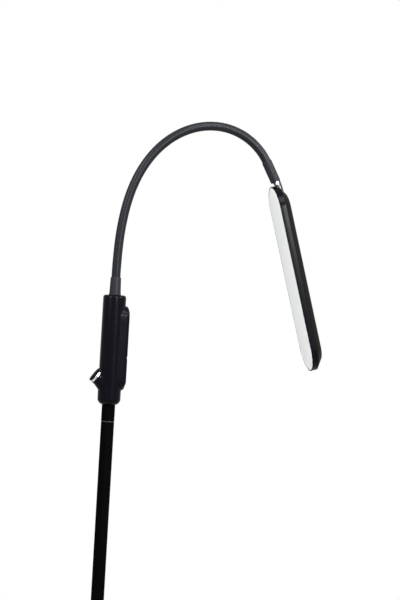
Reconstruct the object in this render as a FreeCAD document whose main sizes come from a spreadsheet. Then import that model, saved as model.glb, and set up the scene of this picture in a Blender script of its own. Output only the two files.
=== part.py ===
import FreeCAD, Part
import math
import os
import types

import Sketcher
from FreeCAD import Placement, Rotation, Vector

# Gooseneck reading floor lamp, in millimetres and degrees.  +Z is up, the origin is the centre
# of the base on the floor, and the neck bends in the XZ plane with the lamp head on the +X side.

# Driving dimensions: name and value, in the order in which the lamp is built up from the floor.
SIZES = [
    # base: foam pad, cast weight, pressed cover, bolt
    ("pad_thickness", 2.0),
    ("pad_radius", 112.0),
    ("weight_radius", 117.0),
    ("weight_thickness", 12.0),
    ("hub_radius", 30.0),
    ("hub_height", 2.5),
    ("recess_radius", 15.0),
    ("recess_depth", 7.5),
    ("cover_radius", 120.0),
    ("cover_wall", 1.5),
    ("cover_bevel", 2.5),
    ("skirt_gap", 2.6),
    ("bolt_radius", 4.0),
    ("bolt_head_radius", 6.5),
    ("bolt_head_height", 5.0),
    ("bolt_grip", 12.0),
    ("washer_radius", 10.0),
    ("washer_thickness", 1.5),
    # pole foot and power inlet
    ("foot_flange_radius", 22.0),
    ("foot_radius", 15.0),
    ("foot_height", 34.0),
    ("foot_taper", 8.0),
    ("foot_cavity_radius", 6.5),
    ("inlet_height", 20.0),
    ("inlet_radius", 4.0),
    ("inlet_flange_radius", 5.6),
    ("inlet_flange", 1.5),
    ("inlet_depth", 10.0),
    ("inlet_socket_radius", 2.8),
    ("inlet_pin_radius", 1.0),
    ("inlet_terminal_radius", 1.4),
    ("inlet_terminal", 4.5),
    ("spotface_depth", 1.8),
    # pole
    ("pole_radius", 8.0),
    ("pole_wall", 1.2),
    ("section_length", 320.0),
    ("collar_thickness", 1.0),
    ("spigot_length", 28.0),
    ("spigot_bore", 4.5),
    ("cable_radius", 1.75),
    ("stub_extra", 0.1),
    ("stub_show", 20.0),
    # handle, which holds the driver
    ("handle_radius", 14.0),
    ("handle_length", 133.0),
    ("handle_wall", 2.0),
    ("handle_top_rounding", 2.0),
    ("nose_radius", 9.0),
    ("nose_height", 5.0),
    ("stub_seat", 26.0),
    ("neck_seat", 15.0),
    ("bulge_low", 18.0),
    ("bulge_high", 120.0),
    ("bulge_half_width", 12.25),
    ("bulge_proud", 4.5),
    ("bulge_rounding", 3.5),
    ("post_radius", 3.0),
    ("post_spread", 8.0),
    ("post_low", 58.0),
    ("post_high", 105.0),
    ("screw_radius", 1.25),
    ("screw_head_radius", 2.4),
    ("screw_head_height", 1.8),
    ("screw_length", 22.0),
    ("screw_sink", 2.4),
    # angled button boss
    ("boss_radius", 9.4),
    ("boss_elevation", 37.0),
    ("boss_stand", 5.8),
    ("boss_up", 36.2),
    ("cap_thickness", 1.4),
    ("cap_radius", 9.2),
    ("cap_gap", 0.8),
    ("bezel_height", 2.7),
    ("bezel_bore", 8.1),
    ("cap_skirt", 3.6),
    ("boss_depth", 12.4),
    ("switch_side", 8.0),
    ("switch_height", 3.4),
    ("plunger_radius", 1.5),
    ("plunger_show", 0.9),
    ("spring_radius", 2.9),
    ("spring_wire", 0.5),
    ("spring_turns", 3.5),
    # driver board
    ("board_thickness", 1.6),
    ("board_width", 12.0),
    ("board_length", 62.0),
    ("board_low", 42.0),
    ("board_out", 3.0),
    # neck: lower ferrule, wound core cut into short rigid lengths, sleeve and lead
    ("ferrule_length", 21.5),
    ("ferrule_radius", 7.0),
    ("ferrule_top_radius", 6.4),
    ("ferrule_flange_radius", 7.5),
    ("ferrule_root_radius", 6.0),
    ("nut_across_flats", 17.0),
    ("nut_height", 4.0),
    ("neck_pitch", 20.6),
    ("double_lengths", 2),
    ("single_lengths", 12),
    ("neck_turn", 150.5),
    ("neck_ramp", 0.784),
    ("neck_root_turn", 1.15),
    ("sleeve_radius", 5.5),
    ("sleeve_wall", 0.85),
    ("core_radius", 4.0),
    ("core_bore", 1.95),
    ("dome_radius", 3.1),
    ("dome_neck_radius", 2.9),
    ("cup_rim_radius", 3.5),
    ("cup_depth", 1.0),
    ("lead_radius", 0.9),
    # upper ferrule with its fork, hinge pin
    ("end_ferrule_length", 26.0),
    ("end_ferrule_radius", 6.2),
    ("end_ferrule_bore", 5.65),
    ("end_ferrule_grip", 13.0),
    ("end_ferrule_chamfer", 0.8),
    ("pivot_reach", 1.6),
    ("cheek_outer", 5.0),
    ("cheek_inner", 2.5),
    ("cheek_radius", 2.8),
    ("pin_radius", 1.5),
    ("pin_head_radius", 2.4),
    ("pin_head_height", 1.1),
    ("head_lead_radius", 1.2),
    ("head_lead_offset", 4.6),
    # lamp head
    ("head_turn", 12.55),
    ("knuckle_half_width", 2.2),
    ("knuckle_radius", 2.8),
    ("knuckle_tail", 22.0),
    ("head_gap", 3.0),
    ("head_length", 233.0),
    ("head_half_width", 28.8),
    ("head_front", 8.0),
    ("head_side_wall", 7.7),
    ("head_bevel_depth", 8.2),
    ("head_bevel_inset", 11.5),
    ("head_wall", 1.6),
    ("diffuser_thickness", 2.0),
    ("diffuser_lip", 1.2),
    ("led_board_thickness", 1.2),
    ("small_screw_radius", 1.0),
    ("small_screw_head", 1.9),
    ("knuckle_screw_reach", 13.0),
    ("board_screw_inset", 9.0),
    ("board_screw_end", 45.0),
    ("led_rows", 2),
    ("leds_in_row", 12),
    # fits
    ("fit_gap", 0.05),
    ("loose_gap", 0.3),
]

doc = FreeCAD.newDocument("gooseneck_floor_lamp")
sheet = doc.addObject("Spreadsheet::Sheet", "sizes")
for row, (name, number) in enumerate(SIZES, start=1):
    sheet.set(f"A{row}", f"{number:g}")
    sheet.setAlias(f"A{row}", name)
doc.recompute()


class Size:
    """A length that carries both its value and the sheet formula that gives it."""

    def __init__(self, value, formula=None):
        self.value = float(value)
        self.formula = formula or f"{float(value):g}"

    def joined(self, sign, other, value):
        return Size(value, f"({self.formula} {sign} {other.formula})")

    def __add__(self, other):
        other = sized(other)
        return self.joined("+", other, self.value + other.value)

    def __sub__(self, other):
        other = sized(other)
        return self.joined("-", other, self.value - other.value)

    def __mul__(self, other):
        other = sized(other)
        return self.joined("*", other, self.value * other.value)

    def __truediv__(self, other):
        other = sized(other)
        return self.joined("/", other, self.value / other.value)

    def __radd__(self, other):
        return sized(other) + self

    def __rsub__(self, other):
        return sized(other) - self

    def __neg__(self):
        return sized(0) - self

    def __float__(self):
        return self.value


def sized(value):
    """The value as a Size."""
    return value if isinstance(value, Size) else Size(value)


size = types.SimpleNamespace(**{name: Size(number, f"sizes.{name}") for name, number in SIZES})
parts = []


# ---------------------------------------------------------------- helpers for sketched pieces

def add_body(label, place=None):
    """An empty body for one piece of the lamp."""
    body = doc.addObject("PartDesign::Body", label)
    body.Label = label
    if place is not None:
        body.Placement = place
    parts.append(body)
    return body


def lift(body, height):
    """Put a body's own origin at a height on the pole's axis."""
    body.Placement = Placement(Vector(0, 0, height.value), Rotation())
    body.setExpression("Placement.Base.z", height.formula)
    return body


def add_sketch(body, name, plane, offset=None):
    """A sketch on one of the body's origin planes, or at an offset along that plane's normal."""
    sketch = body.newObject("Sketcher::SketchObject", f"{body.Label}_{name}")
    origin_plane = next(item for item in body.Origin.OriginFeatures if item.Role == plane)
    sketch.AttachmentSupport = [(origin_plane, "")]
    sketch.MapMode = "FlatFace"
    if offset is not None:
        sketch.AttachmentOffset = Placement(Vector(0, 0, offset.value), Rotation())
        sketch.setExpression("AttachmentOffset.Base.z", offset.formula)
    return sketch


def fix(sketch, kind, name, value, *where):
    """One dimension of a sketch, bound to the sheet."""
    value = sized(value)
    index = sketch.addConstraint(Sketcher.Constraint(kind, *where, value.value))
    sketch.renameConstraint(index, name)
    sketch.setExpression(f"Constraints.{name}", value.formula)


def draw_polygon(sketch, corners):
    """A closed outline through corners given as pairs of sizes."""
    first = sketch.GeometryCount
    flat = [Vector(float(across), float(along), 0) for across, along in corners]
    count = len(flat)
    for index, corner in enumerate(flat):
        sketch.addGeometry(Part.LineSegment(corner, flat[(index + 1) % count]), False)
    for index in range(count):
        following = first + (index + 1) % count
        sketch.addConstraint(Sketcher.Constraint("Coincident", first + index, 2, following, 1))
    for index, (across, along) in enumerate(corners, start=first):
        fix(sketch, "DistanceX", f"across_{index}", across, index, 1)
        fix(sketch, "DistanceY", f"along_{index}", along, index, 1)


def draw_rectangle(sketch, half_width, low, high):
    """A rectangle that is centred across and runs from low to high."""
    draw_polygon(sketch, [(-half_width, low), (half_width, low), (half_width, high), (-half_width, high)])


def draw_circle(sketch, across, along, radius):
    """A circle at a point of the sketch."""
    index = sketch.GeometryCount
    centre = Vector(float(across), float(along), 0)
    sketch.addGeometry(Part.Circle(centre, Vector(0, 0, 1), float(radius)), False)
    fix(sketch, "Radius", f"radius_{index}", radius, index)
    fix(sketch, "DistanceX", f"across_{index}", across, index, 3)
    fix(sketch, "DistanceY", f"along_{index}", along, index, 3)


def draw_obround(sketch, half_width, low, high):
    """A slot outline with round ends, centred across, whose ends reach low and high."""
    radius = float(half_width)
    bottom = Vector(0, float(low) + radius, 0)
    top = Vector(0, float(high) - radius, 0)
    side = Vector(radius, 0, 0)
    normal = Vector(0, 0, 1)
    first = sketch.GeometryCount
    lower, right, upper, left = range(first, first + 4)
    sketch.addGeometry(Part.ArcOfCircle(Part.Circle(bottom, normal, radius), math.pi, 2 * math.pi), False)
    sketch.addGeometry(Part.LineSegment(bottom + side, top + side), False)
    sketch.addGeometry(Part.ArcOfCircle(Part.Circle(top, normal, radius), 0, math.pi), False)
    sketch.addGeometry(Part.LineSegment(top - side, bottom - side), False)
    for here, following in ((lower, right), (right, upper), (upper, left), (left, lower)):
        sketch.addConstraint(Sketcher.Constraint("Tangent", here, 2, following, 1))
    sketch.addConstraint(Sketcher.Constraint("Vertical", right))
    fix(sketch, "Radius", f"radius_{lower}", half_width, lower)
    fix(sketch, "DistanceX", f"across_{lower}", 0, lower, 3)
    fix(sketch, "DistanceY", f"along_{lower}", sized(low) + half_width, lower, 3)
    fix(sketch, "DistanceY", f"along_{upper}", sized(high) - half_width, upper, 3)


def checked(body, feature, adds):
    """Recompute, and make sure that the feature really added or removed material."""
    before = feature.BaseFeature.Shape.Volume if feature.BaseFeature else 0.0
    doc.recompute()
    change = feature.Shape.Volume - before
    if (change <= 0) if adds else (change >= 0):
        raise RuntimeError(f"{feature.Label} changed the volume of {body.Label} by {change:.3f}")
    return feature


def extrude(body, sketch, length, kind="Pad", reverse=False, both_ways=False):
    """A pad or pocket of a sketch; with no length a pocket goes through everything."""
    feature = body.newObject(f"PartDesign::{kind}", f"{sketch.Label}_{kind.lower()}")
    feature.Profile = sketch
    feature.Reversed = reverse
    if both_ways:
        feature.SideType = "Symmetric"
    if length is None:
        feature.Type = "ThroughAll"
    else:
        feature.Length = float(length)
        feature.setExpression("Length", sized(length).formula)
    return checked(body, feature, kind == "Pad")


def turn(body, sketch, kind="Revolution"):
    """A sketch turned a full circle about the body's own Z axis."""
    feature = body.newObject(f"PartDesign::{kind}", f"{sketch.Label}_{kind.lower()}")
    feature.Profile = sketch
    feature.ReferenceAxis = (sketch, ["V_Axis"])
    feature.Angle = 360
    return checked(body, feature, kind == "Revolution")


def turned(label, corners, place=None):
    """A turned piece: an outline of (radius, height) corners about its own Z axis."""
    body = add_body(label, place)
    sketch = add_sketch(body, "outline", "XZ_Plane")
    draw_polygon(sketch, corners)
    turn(body, sketch)
    return body


def rim(height, radius):
    """A test for the circular edge of a given height and radius about the body's axis."""
    def matches(edge):
        curve = edge.Curve
        if not isinstance(curve, Part.Circle) or abs(curve.Axis.z) < 0.99:
            return False
        on_axis = math.hypot(curve.Center.x, curve.Center.y) < 0.01
        return on_axis and abs(curve.Center.z - float(height)) < 0.01 and abs(curve.Radius - float(radius)) < 0.01
    return matches


def in_plane_x(depth):
    """A test for an edge that lies wholly in the plane at a given x of the body."""
    def matches(edge):
        box = edge.BoundBox
        return abs(box.XMin - float(depth)) < 0.01 and abs(box.XMax - float(depth)) < 0.01
    return matches


def round_edges(body, radius, matches, name="rounding"):
    """Round every edge of the body's last feature that the test picks out."""
    base = body.Tip
    names = [f"Edge{index}" for index, edge in enumerate(base.Shape.Edges, start=1) if matches(edge)]
    feature = body.newObject("PartDesign::Fillet", f"{body.Label}_{name}")
    feature.Base = (base, names)
    feature.Radius = float(radius)
    feature.setExpression("Radius", sized(radius).formula)
    doc.recompute()
    return feature


def add_shape(label, shape, place=None):
    """A piece, or a group of like pieces, whose shape is worked out from the sheet's sizes."""
    feature = doc.addObject("Part::Feature", label)
    feature.Label = label
    feature.Shape = shape
    if place is not None:
        feature.Placement = place * shape.Placement
    parts.append(feature)
    return feature


def turned_shape(corners, shift=Vector()):
    """A turned solid from (radius, height) corners."""
    points = [Vector(float(radius), 0, float(height)) for radius, height in corners]
    face = Part.Face(Part.makePolygon(points + points[:1]))
    solid = face.revolve(Vector(), Vector(0, 0, 1), 360)
    return solid.translated(shift)


def faceted_shape(corners, sides=8):
    """A solid like a turned one, but with flat sides: each ring of corners is a polygon."""
    rings = []
    for index in range(sides):
        turned_by = 2 * math.pi * index / sides
        rings.append([Vector(radius * math.cos(turned_by), radius * math.sin(turned_by), height)
                      for radius, height in corners])
    faces = []
    count = len(corners)
    for index, ring in enumerate(rings):
        beside = rings[(index + 1) % sides]
        for corner in range(count):
            after = (corner + 1) % count
            outline = [ring[corner], beside[corner], beside[after], ring[after], ring[corner]]
            faces.append(Part.Face(Part.makePolygon(outline)))
    return Part.Solid(Part.Shell(faces))


def tube(outer, inner, low, high):
    """The outline of a straight tube."""
    return [(inner, low), (outer, low), (outer, high), (inner, high)]


def rod(radius, low, high):
    """The outline of a straight rod."""
    return [(0, low), (radius, low), (radius, high), (0, high)]


# ---------------------------------------------------------------- base

weight_low = size.pad_thickness
weight_top = weight_low + size.weight_thickness
hub_top = weight_top + size.hub_height
base_top = hub_top + size.cover_wall
recess_top = weight_low + size.recess_depth
bolt_hole = size.bolt_radius + size.loose_gap

turned("base_pad", rod(size.pad_radius, 0, weight_low))

turned("base_weight", [
    (bolt_hole, recess_top), (size.recess_radius, recess_top), (size.recess_radius, weight_low),
    (size.weight_radius, weight_low), (size.weight_radius, weight_top),
    (size.hub_radius, weight_top), (size.hub_radius, hub_top), (bolt_hole, hub_top)])

skirt_inner = size.cover_radius - size.cover_wall
turned("base_cover", [
    (bolt_hole, hub_top), (skirt_inner, hub_top), (skirt_inner, size.skirt_gap),
    (size.cover_radius, size.skirt_gap), (size.cover_radius, base_top - size.cover_bevel),
    (size.cover_radius - size.cover_bevel * 0.3, base_top - size.cover_bevel * 0.3),
    (size.cover_radius - size.cover_bevel, base_top), (bolt_hole, base_top)])

washer_low = recess_top - size.washer_thickness
turned("bolt_washer", tube(size.washer_radius, bolt_hole, washer_low, recess_top))

head_low = washer_low - size.bolt_head_height
bolt_end = base_top + size.bolt_grip - 1
turned("base_bolt", [
    (0, head_low), (size.bolt_head_radius, head_low), (size.bolt_head_radius, washer_low),
    (size.bolt_radius, washer_low), (size.bolt_radius, bolt_end), (0, bolt_end)])


# ---------------------------------------------------------------- pole foot and power inlet

pole_start = base_top + size.foot_height
pole_bore = size.pole_radius - size.pole_wall
spigot_radius = pole_bore - size.fit_gap
shoulder = size.pole_radius + 1.6
foot_floor = base_top + size.bolt_grip + 2
cavity_top = pole_start - size.foot_taper
foot = turned("pole_foot", [
    (0, base_top), (size.foot_flange_radius, base_top), (size.foot_flange_radius, base_top + 2.5),
    (size.foot_radius, base_top + 5), (size.foot_radius, cavity_top), (shoulder, pole_start),
    (spigot_radius, pole_start), (spigot_radius, pole_start + size.spigot_length),
    (size.spigot_bore, pole_start + size.spigot_length), (size.spigot_bore, pole_start),
    (size.foot_cavity_radius, cavity_top), (size.foot_cavity_radius, foot_floor), (0, foot_floor)])
bolt_thread = add_sketch(foot, "thread", "XY_Plane", base_top)
draw_circle(bolt_thread, 0, 0, size.bolt_radius + size.fit_gap)
extrude(foot, bolt_thread, size.bolt_grip, "Pocket", reverse=True)
inlet_z = base_top + size.inlet_height
inlet_hole = add_sketch(foot, "inlet_hole", "YZ_Plane")
draw_circle(inlet_hole, 0, inlet_z, size.inlet_radius + size.fit_gap)
extrude(foot, inlet_hole, None, "Pocket")
spotface = add_sketch(foot, "spotface", "YZ_Plane", size.spotface_depth - size.foot_radius)
draw_circle(spotface, 0, inlet_z, size.inlet_flange_radius + size.loose_gap)
extrude(foot, spotface, size.foot_radius, "Pocket")

inlet_place = Placement(Vector(float(size.spotface_depth - size.foot_radius), 0, float(inlet_z)),
                        Rotation(Vector(0, 1, 0), -90))
turned("power_inlet", [
    (0, -size.inlet_depth - size.inlet_terminal),
    (size.inlet_terminal_radius, -size.inlet_depth - size.inlet_terminal),
    (size.inlet_terminal_radius, -size.inlet_depth), (size.inlet_radius, -size.inlet_depth),
    (size.inlet_radius, 0), (size.inlet_flange_radius, 0),
    (size.inlet_flange_radius, size.inlet_flange), (size.inlet_socket_radius, size.inlet_flange),
    (size.inlet_socket_radius, 1.5 - size.inlet_depth), (size.inlet_pin_radius, 1.5 - size.inlet_depth),
    (size.inlet_pin_radius, 0), (0, 0)], inlet_place)


# ---------------------------------------------------------------- pole

step = size.section_length + size.collar_thickness
for index, label in enumerate(("lower_pole", "middle_pole", "upper_pole")):
    section = lift(turned(label, tube(size.pole_radius, pole_bore, 0, size.section_length)),
                   pole_start + step * index)

joiner = [
    (size.spigot_bore, -size.spigot_length), (spigot_radius, -size.spigot_length),
    (spigot_radius, 0), (size.pole_radius, 0), (size.pole_radius, size.collar_thickness),
    (spigot_radius, size.collar_thickness),
    (spigot_radius, size.collar_thickness + size.spigot_length),
    (size.spigot_bore, size.collar_thickness + size.spigot_length)]
joiner_heights = [pole_start + step * count - size.collar_thickness for count in (1, 2, 3)]
add_shape("pole_joiners", Part.makeCompound(
    [turned_shape(joiner, Vector(0, 0, float(height))) for height in joiner_heights]))

stub_radius = size.pole_radius + size.stub_extra
stub_low = pole_start + step * 3
handle_low = stub_low + size.stub_show
handle_top = handle_low + size.handle_length
lift(turned("handle_stub", tube(stub_radius, pole_bore, 0, size.stub_show + size.stub_seat)), stub_low)

cable_low = inlet_z + size.inlet_terminal_radius
board_low = handle_low + size.board_low
cable = doc.addObject("Part::Cylinder", "pole_cable")
cable.Label = "pole_cable"
cable.setExpression("Radius", size.cable_radius.formula)
cable.setExpression("Height", (board_low - cable_low).formula)
cable.setExpression("Placement.Base.z", cable_low.formula)
parts.append(cable)


# ---------------------------------------------------------------- handle

bulge_reach = size.handle_radius + size.bulge_proud
boss_out = size.handle_radius + size.boss_stand


def boss_placement():
    """Where the button boss's face lies in the handle: its Z axis points outwards and up."""
    lean = float(size.boss_elevation) - 90
    return Placement(Vector(-float(boss_out), 0, float(size.boss_up)), Rotation(Vector(0, 1, 0), lean))


def boss_sketch(body, name, depth):
    """A sketch square to the boss's axis, at a depth below the button's face."""
    sketch = add_sketch(body, name, "XY_Plane")
    place = boss_placement()
    centre = place.multVec(Vector(0, 0, -float(depth)))
    sketch.AttachmentOffset = Placement(centre, place.Rotation)
    return sketch


post_places = [(-size.post_spread, size.post_low), (size.post_spread, size.post_high)]


def handle_half(label, front):
    """One moulded half of the handle; the front half faces the lamp head and holds the driver."""
    body = lift(add_body(label), handle_low)
    outline = add_sketch(body, "outline", "XZ_Plane")
    draw_polygon(outline, [
        (0, 0), (size.nose_radius, 0), (size.handle_radius, size.nose_height),
        (size.handle_radius, size.handle_length), (0, size.handle_length)])
    turn(body, outline)
    round_edges(body, size.handle_top_rounding, rim(size.handle_length, size.handle_radius), "top")
    if front:
        bulge = add_sketch(body, "bulge", "YZ_Plane")
        draw_obround(bulge, size.bulge_half_width, size.bulge_low, size.bulge_high)
        extrude(body, bulge, bulge_reach)
        round_edges(body, size.bulge_rounding, in_plane_x(bulge_reach), "bulge_edge")
    else:
        bezel_seat = size.cap_thickness + size.cap_gap + size.bezel_height
        boss = boss_sketch(body, "boss", bezel_seat)
        draw_circle(boss, 0, 0, size.boss_radius)
        extrude(body, boss, boss_out, reverse=True)
        spot = boss_sketch(body, "button_spot", bezel_seat)
        draw_circle(spot, 0, 0, size.boss_radius + size.loose_gap)
        extrude(body, spot, boss_out, "Pocket", reverse=True)
    cavity = add_sketch(body, "cavity", "XZ_Plane")
    cavity_radius = size.handle_radius - size.handle_wall
    cavity_low = size.stub_seat + size.handle_wall
    cavity_high = size.handle_length - size.neck_seat
    draw_polygon(cavity, rod(cavity_radius, cavity_low, cavity_high))
    turn(body, cavity, "Groove")
    if front:
        room = add_sketch(body, "room", "YZ_Plane")
        wall = size.handle_wall
        draw_obround(room, size.bulge_half_width - wall, cavity_low, cavity_high)
        extrude(body, room, bulge_reach - wall, "Pocket", reverse=True)
    else:
        bore = boss_sketch(body, "button_bore", 0)
        draw_circle(bore, 0, 0, size.bezel_bore)
        extrude(body, bore, size.boss_depth, "Pocket")
    posts = add_sketch(body, "posts", "YZ_Plane")
    holes = add_sketch(body, "screw_holes", "YZ_Plane")
    for across, height in post_places:
        draw_circle(posts, across, height, size.post_radius)
        draw_circle(holes, across, height, size.screw_radius + size.fit_gap)
    reach = bulge_reach - size.handle_wall / 2 if front else size.handle_radius * 0.72
    extrude(body, posts, reach, reverse=not front)
    bore_depth = bulge_reach if front else size.screw_length - bulge_reach + size.screw_sink + 1
    extrude(body, holes, bore_depth, "Pocket", reverse=front)
    if front:
        sinks = add_sketch(body, "screw_sinks", "YZ_Plane", bulge_reach)
        for across, height in post_places:
            draw_circle(sinks, across, height, size.screw_head_radius + size.loose_gap)
        extrude(body, sinks, size.screw_sink, "Pocket")
    stub_bore = add_sketch(body, "stub_bore", "XY_Plane")
    draw_circle(stub_bore, 0, 0, stub_radius + size.fit_gap)
    extrude(body, stub_bore, size.stub_seat, "Pocket", reverse=True)
    cable_bore = add_sketch(body, "cable_bore", "XY_Plane", size.stub_seat)
    draw_circle(cable_bore, 0, 0, size.spigot_bore)
    extrude(body, cable_bore, size.handle_wall, "Pocket", reverse=True)
    neck_bore = add_sketch(body, "neck_bore", "XY_Plane", size.handle_length)
    draw_circle(neck_bore, 0, 0, size.ferrule_root_radius + size.fit_gap)
    extrude(body, neck_bore, size.neck_seat, "Pocket")
    other_half = add_sketch(body, "other_half", "YZ_Plane")
    draw_rectangle(other_half, size.handle_length, -size.handle_length, size.handle_length * 2)
    extrude(body, other_half, None, "Pocket", reverse=not front)
    return body


handle_half("handle_front", True)
handle_half("handle_back", False)

screw = [
    (0, 0), (size.screw_head_radius, 0), (size.screw_head_radius, -size.screw_head_height),
    (size.screw_radius, -size.screw_head_height), (size.screw_radius, -size.screw_length),
    (0, -size.screw_length)]
screw_face = float(bulge_reach - size.screw_sink + size.screw_head_height)
screws = []
for across, height in post_places:
    solid = turned_shape(screw)
    solid.Placement = Placement(Vector(screw_face, float(across), float(handle_low + height)),
                                Rotation(Vector(0, 1, 0), 90))
    screws.append(solid)
add_shape("handle_screws", Part.makeCompound(screws))


# ---------------------------------------------------------------- driver

board_x = float(size.board_out)
board_box = doc.addObject("Part::Box", "driver_board")
board_box.Label = "driver_board"
board_box.setExpression("Length", size.board_width.formula)
board_box.setExpression("Width", size.board_thickness.formula)
board_box.setExpression("Height", size.board_length.formula)
board_box.setExpression("Placement.Base.x", size.board_out.formula)
board_box.setExpression("Placement.Base.y", (-size.board_thickness / 2).formula)
board_box.setExpression("Placement.Base.z", board_low.formula)
parts.append(board_box)


def driver_parts():
    """Inductor, two capacitors and the two terminal blocks that stand on the driver board."""
    face = float(size.board_thickness) / 2
    low = float(board_low)
    long = float(size.board_length)
    middle = board_x + float(size.board_width) / 2
    inductor = Part.makeCylinder(4.5, 4.0, Vector(middle, face, low + 0.3 * long), Vector(0, 1, 0))
    capacitors = [Part.makeCylinder(2.5, 6.0, Vector(middle, face, low + part * long), Vector(0, 1, 0))
                  for part in (0.55, 0.68)]
    chip = Part.makeBox(6, 1.6, 6, Vector(middle - 3, -face - 1.6, low + 0.4 * long))
    blocks = [Part.makeBox(board_x + 3, 3.5, 6, Vector(-1.6, face, place))
              for place in (low, low + long - 6)]
    return Part.makeCompound([inductor, chip] + capacitors + blocks)


add_shape("driver_parts", driver_parts())


# ---------------------------------------------------------------- button

boss_local = boss_placement()
button_place = Placement(boss_local.Base + Vector(0, 0, float(handle_low)), boss_local.Rotation)

cap_low = -size.cap_thickness
bezel_top = cap_low - size.cap_gap
bezel_low = bezel_top - size.bezel_height
turned("button_bezel", tube(size.boss_radius, size.bezel_bore, bezel_low, bezel_top), button_place)

skirt_low = bezel_top - size.cap_skirt
stem_radius = size.bezel_bore - size.loose_gap
stem_bore = stem_radius - 1.2
switch_top = size.switch_height - size.boss_depth
plunger_top = switch_top + size.plunger_show
post_end = plunger_top + 0.7
turned("button_cap", [
    (0, post_end), (size.plunger_radius, post_end), (size.plunger_radius, cap_low),
    (stem_bore, cap_low), (stem_bore, skirt_low), (stem_radius, skirt_low),
    (stem_radius, cap_low), (size.cap_radius, cap_low), (size.cap_radius, -0.5),
    (size.cap_radius - 0.5, 0), (0, 0)], button_place)


def button_spring():
    """A wound return spring of square wire between the cap and the switch."""
    wire = float(size.spring_wire)
    length = float(cap_low - switch_top) - wire * 1.2
    radius = float(size.spring_radius)
    helix = Part.makeHelix(length / float(size.spring_turns), length, radius)
    inner, outer = radius - wire / 2, radius + wire / 2
    section = Part.makePolygon([Vector(across, 0, along) for across, along in (
        (inner, -wire / 2), (outer, -wire / 2), (outer, wire / 2), (inner, wire / 2), (inner, -wire / 2))])
    coil = Part.Wire(helix.Edges).makePipeShell([section], True, True)
    return coil.translated(Vector(0, 0, float(switch_top) + wire * 0.6))


add_shape("button_spring", button_spring(), button_place)

switch = add_body("tact_switch", button_place)
switch_case = add_sketch(switch, "case", "XY_Plane", -size.boss_depth)
half_side = size.switch_side / 2
draw_rectangle(switch_case, half_side, -half_side, half_side)
extrude(switch, switch_case, size.switch_height)
switch_plunger = add_sketch(switch, "plunger", "XY_Plane", switch_top)
draw_circle(switch_plunger, 0, 0, size.plunger_radius)
extrude(switch, switch_plunger, size.plunger_show)


# ---------------------------------------------------------------- neck: lower ferrule and its nut

neck_base = Placement(Vector(0, 0, float(handle_top)), Rotation())
core_fit = size.core_radius + size.fit_gap
root_low = -size.neck_seat - size.nut_height - 0.5
sleeve_seat = size.ferrule_length - 15.5
sleeve_fit = size.sleeve_radius + size.fit_gap
ferrule = turned("neck_ferrule", [
    (core_fit, root_low), (size.ferrule_root_radius, root_low), (size.ferrule_root_radius, 0),
    (size.ferrule_flange_radius, 0), (size.ferrule_flange_radius, 1.0), (size.ferrule_radius, 1.6),
    (size.ferrule_top_radius, size.ferrule_length - 1.0),
    (size.ferrule_top_radius - 0.4, size.ferrule_length), (sleeve_fit, size.ferrule_length),
    (sleeve_fit, sleeve_seat), (core_fit, sleeve_seat)])
lift(ferrule, handle_top)

nut = lift(add_body("ferrule_nut"), handle_top)
nut_sketch = add_sketch(nut, "hexagon", "XY_Plane", -size.neck_seat)
nut_corner = size.nut_across_flats / 3 ** 0.5
nut_half = size.nut_across_flats / 2
draw_polygon(nut_sketch, [
    (nut_corner, 0), (nut_corner / 2, nut_half), (-nut_corner / 2, nut_half),
    (-nut_corner, 0), (-nut_corner / 2, -nut_half), (nut_corner / 2, -nut_half)])
extrude(nut, nut_sketch, size.nut_height, reverse=True)
nut_hole = add_sketch(nut, "hole", "XY_Plane", -size.neck_seat)
draw_circle(nut_hole, 0, 0, size.ferrule_root_radius + size.fit_gap)
extrude(nut, nut_hole, None, "Pocket")


# ---------------------------------------------------------------- neck: path

def heading(angle):
    """The direction in the XZ plane that lies an angle from straight up, towards +X."""
    return Vector(math.sin(math.radians(angle)), 0, math.cos(math.radians(angle)))


def bend_up_to(fraction):
    """The neck's turn up to a fraction of its length: its bend grows evenly, then holds."""
    ramp = float(size.neck_ramp)
    hold_rate = float(size.neck_turn) / (1 - ramp / 2)
    if fraction < ramp:
        return hold_rate * fraction ** 2 / (2 * ramp)
    return hold_rate * (fraction - ramp / 2)


def neck_arcs():
    """The neck's tangent arcs, each a start point, a heading, a turn and a length."""
    pitch = float(size.neck_pitch)
    lengths = [2 * pitch] * int(size.double_lengths.value) + [pitch] * int(size.single_lengths.value)
    whole = sum(lengths)
    start = Vector(0, 0, float(handle_top + size.ferrule_length))
    angle = 0.0
    along = 0.0
    arcs = []
    for length in lengths:
        turned_by = bend_up_to((along + length) / whole) - bend_up_to(along / whole)
        if not arcs:
            turned_by += float(size.neck_root_turn)
        arcs.append((start, angle, turned_by, length))
        chord = 2 * length / math.radians(turned_by) * math.sin(math.radians(turned_by) / 2)
        start = start + heading(angle + turned_by / 2) * chord
        angle += turned_by
        along += length
    return arcs, start, angle


arcs, neck_end, neck_end_angle = neck_arcs()


def corner_reach(turned_by, length):
    """How far along its tangents an arc's corner lies from the arc's ends."""
    half = math.radians(turned_by) / 2
    return length / (2 * half) * math.tan(half)


def neck_joints():
    """Every bending point of the core in order: a side bend starts each long arc and the first
    short one, and an in-plane bend lies at each arc's corner."""
    joints = []
    for index, (start, angle, turned_by, length) in enumerate(arcs):
        if index <= int(size.double_lengths.value):
            joints.append((start, angle))
        reach = corner_reach(turned_by, length)
        joints.append((start + heading(angle) * reach, angle + turned_by))
    return joints


def arc_edge(start, angle, turned_by, length, shift=Vector()):
    """One arc of the neck's centre line."""
    radius = length / math.radians(turned_by)
    half_chord = 2 * radius * math.sin(math.radians(turned_by) / 4)
    chord = 2 * radius * math.sin(math.radians(turned_by) / 2)
    middle = start + heading(angle + turned_by / 4) * half_chord
    finish = start + heading(angle + turned_by / 2) * chord
    return Part.Arc(start, middle, finish).toShape()


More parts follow.
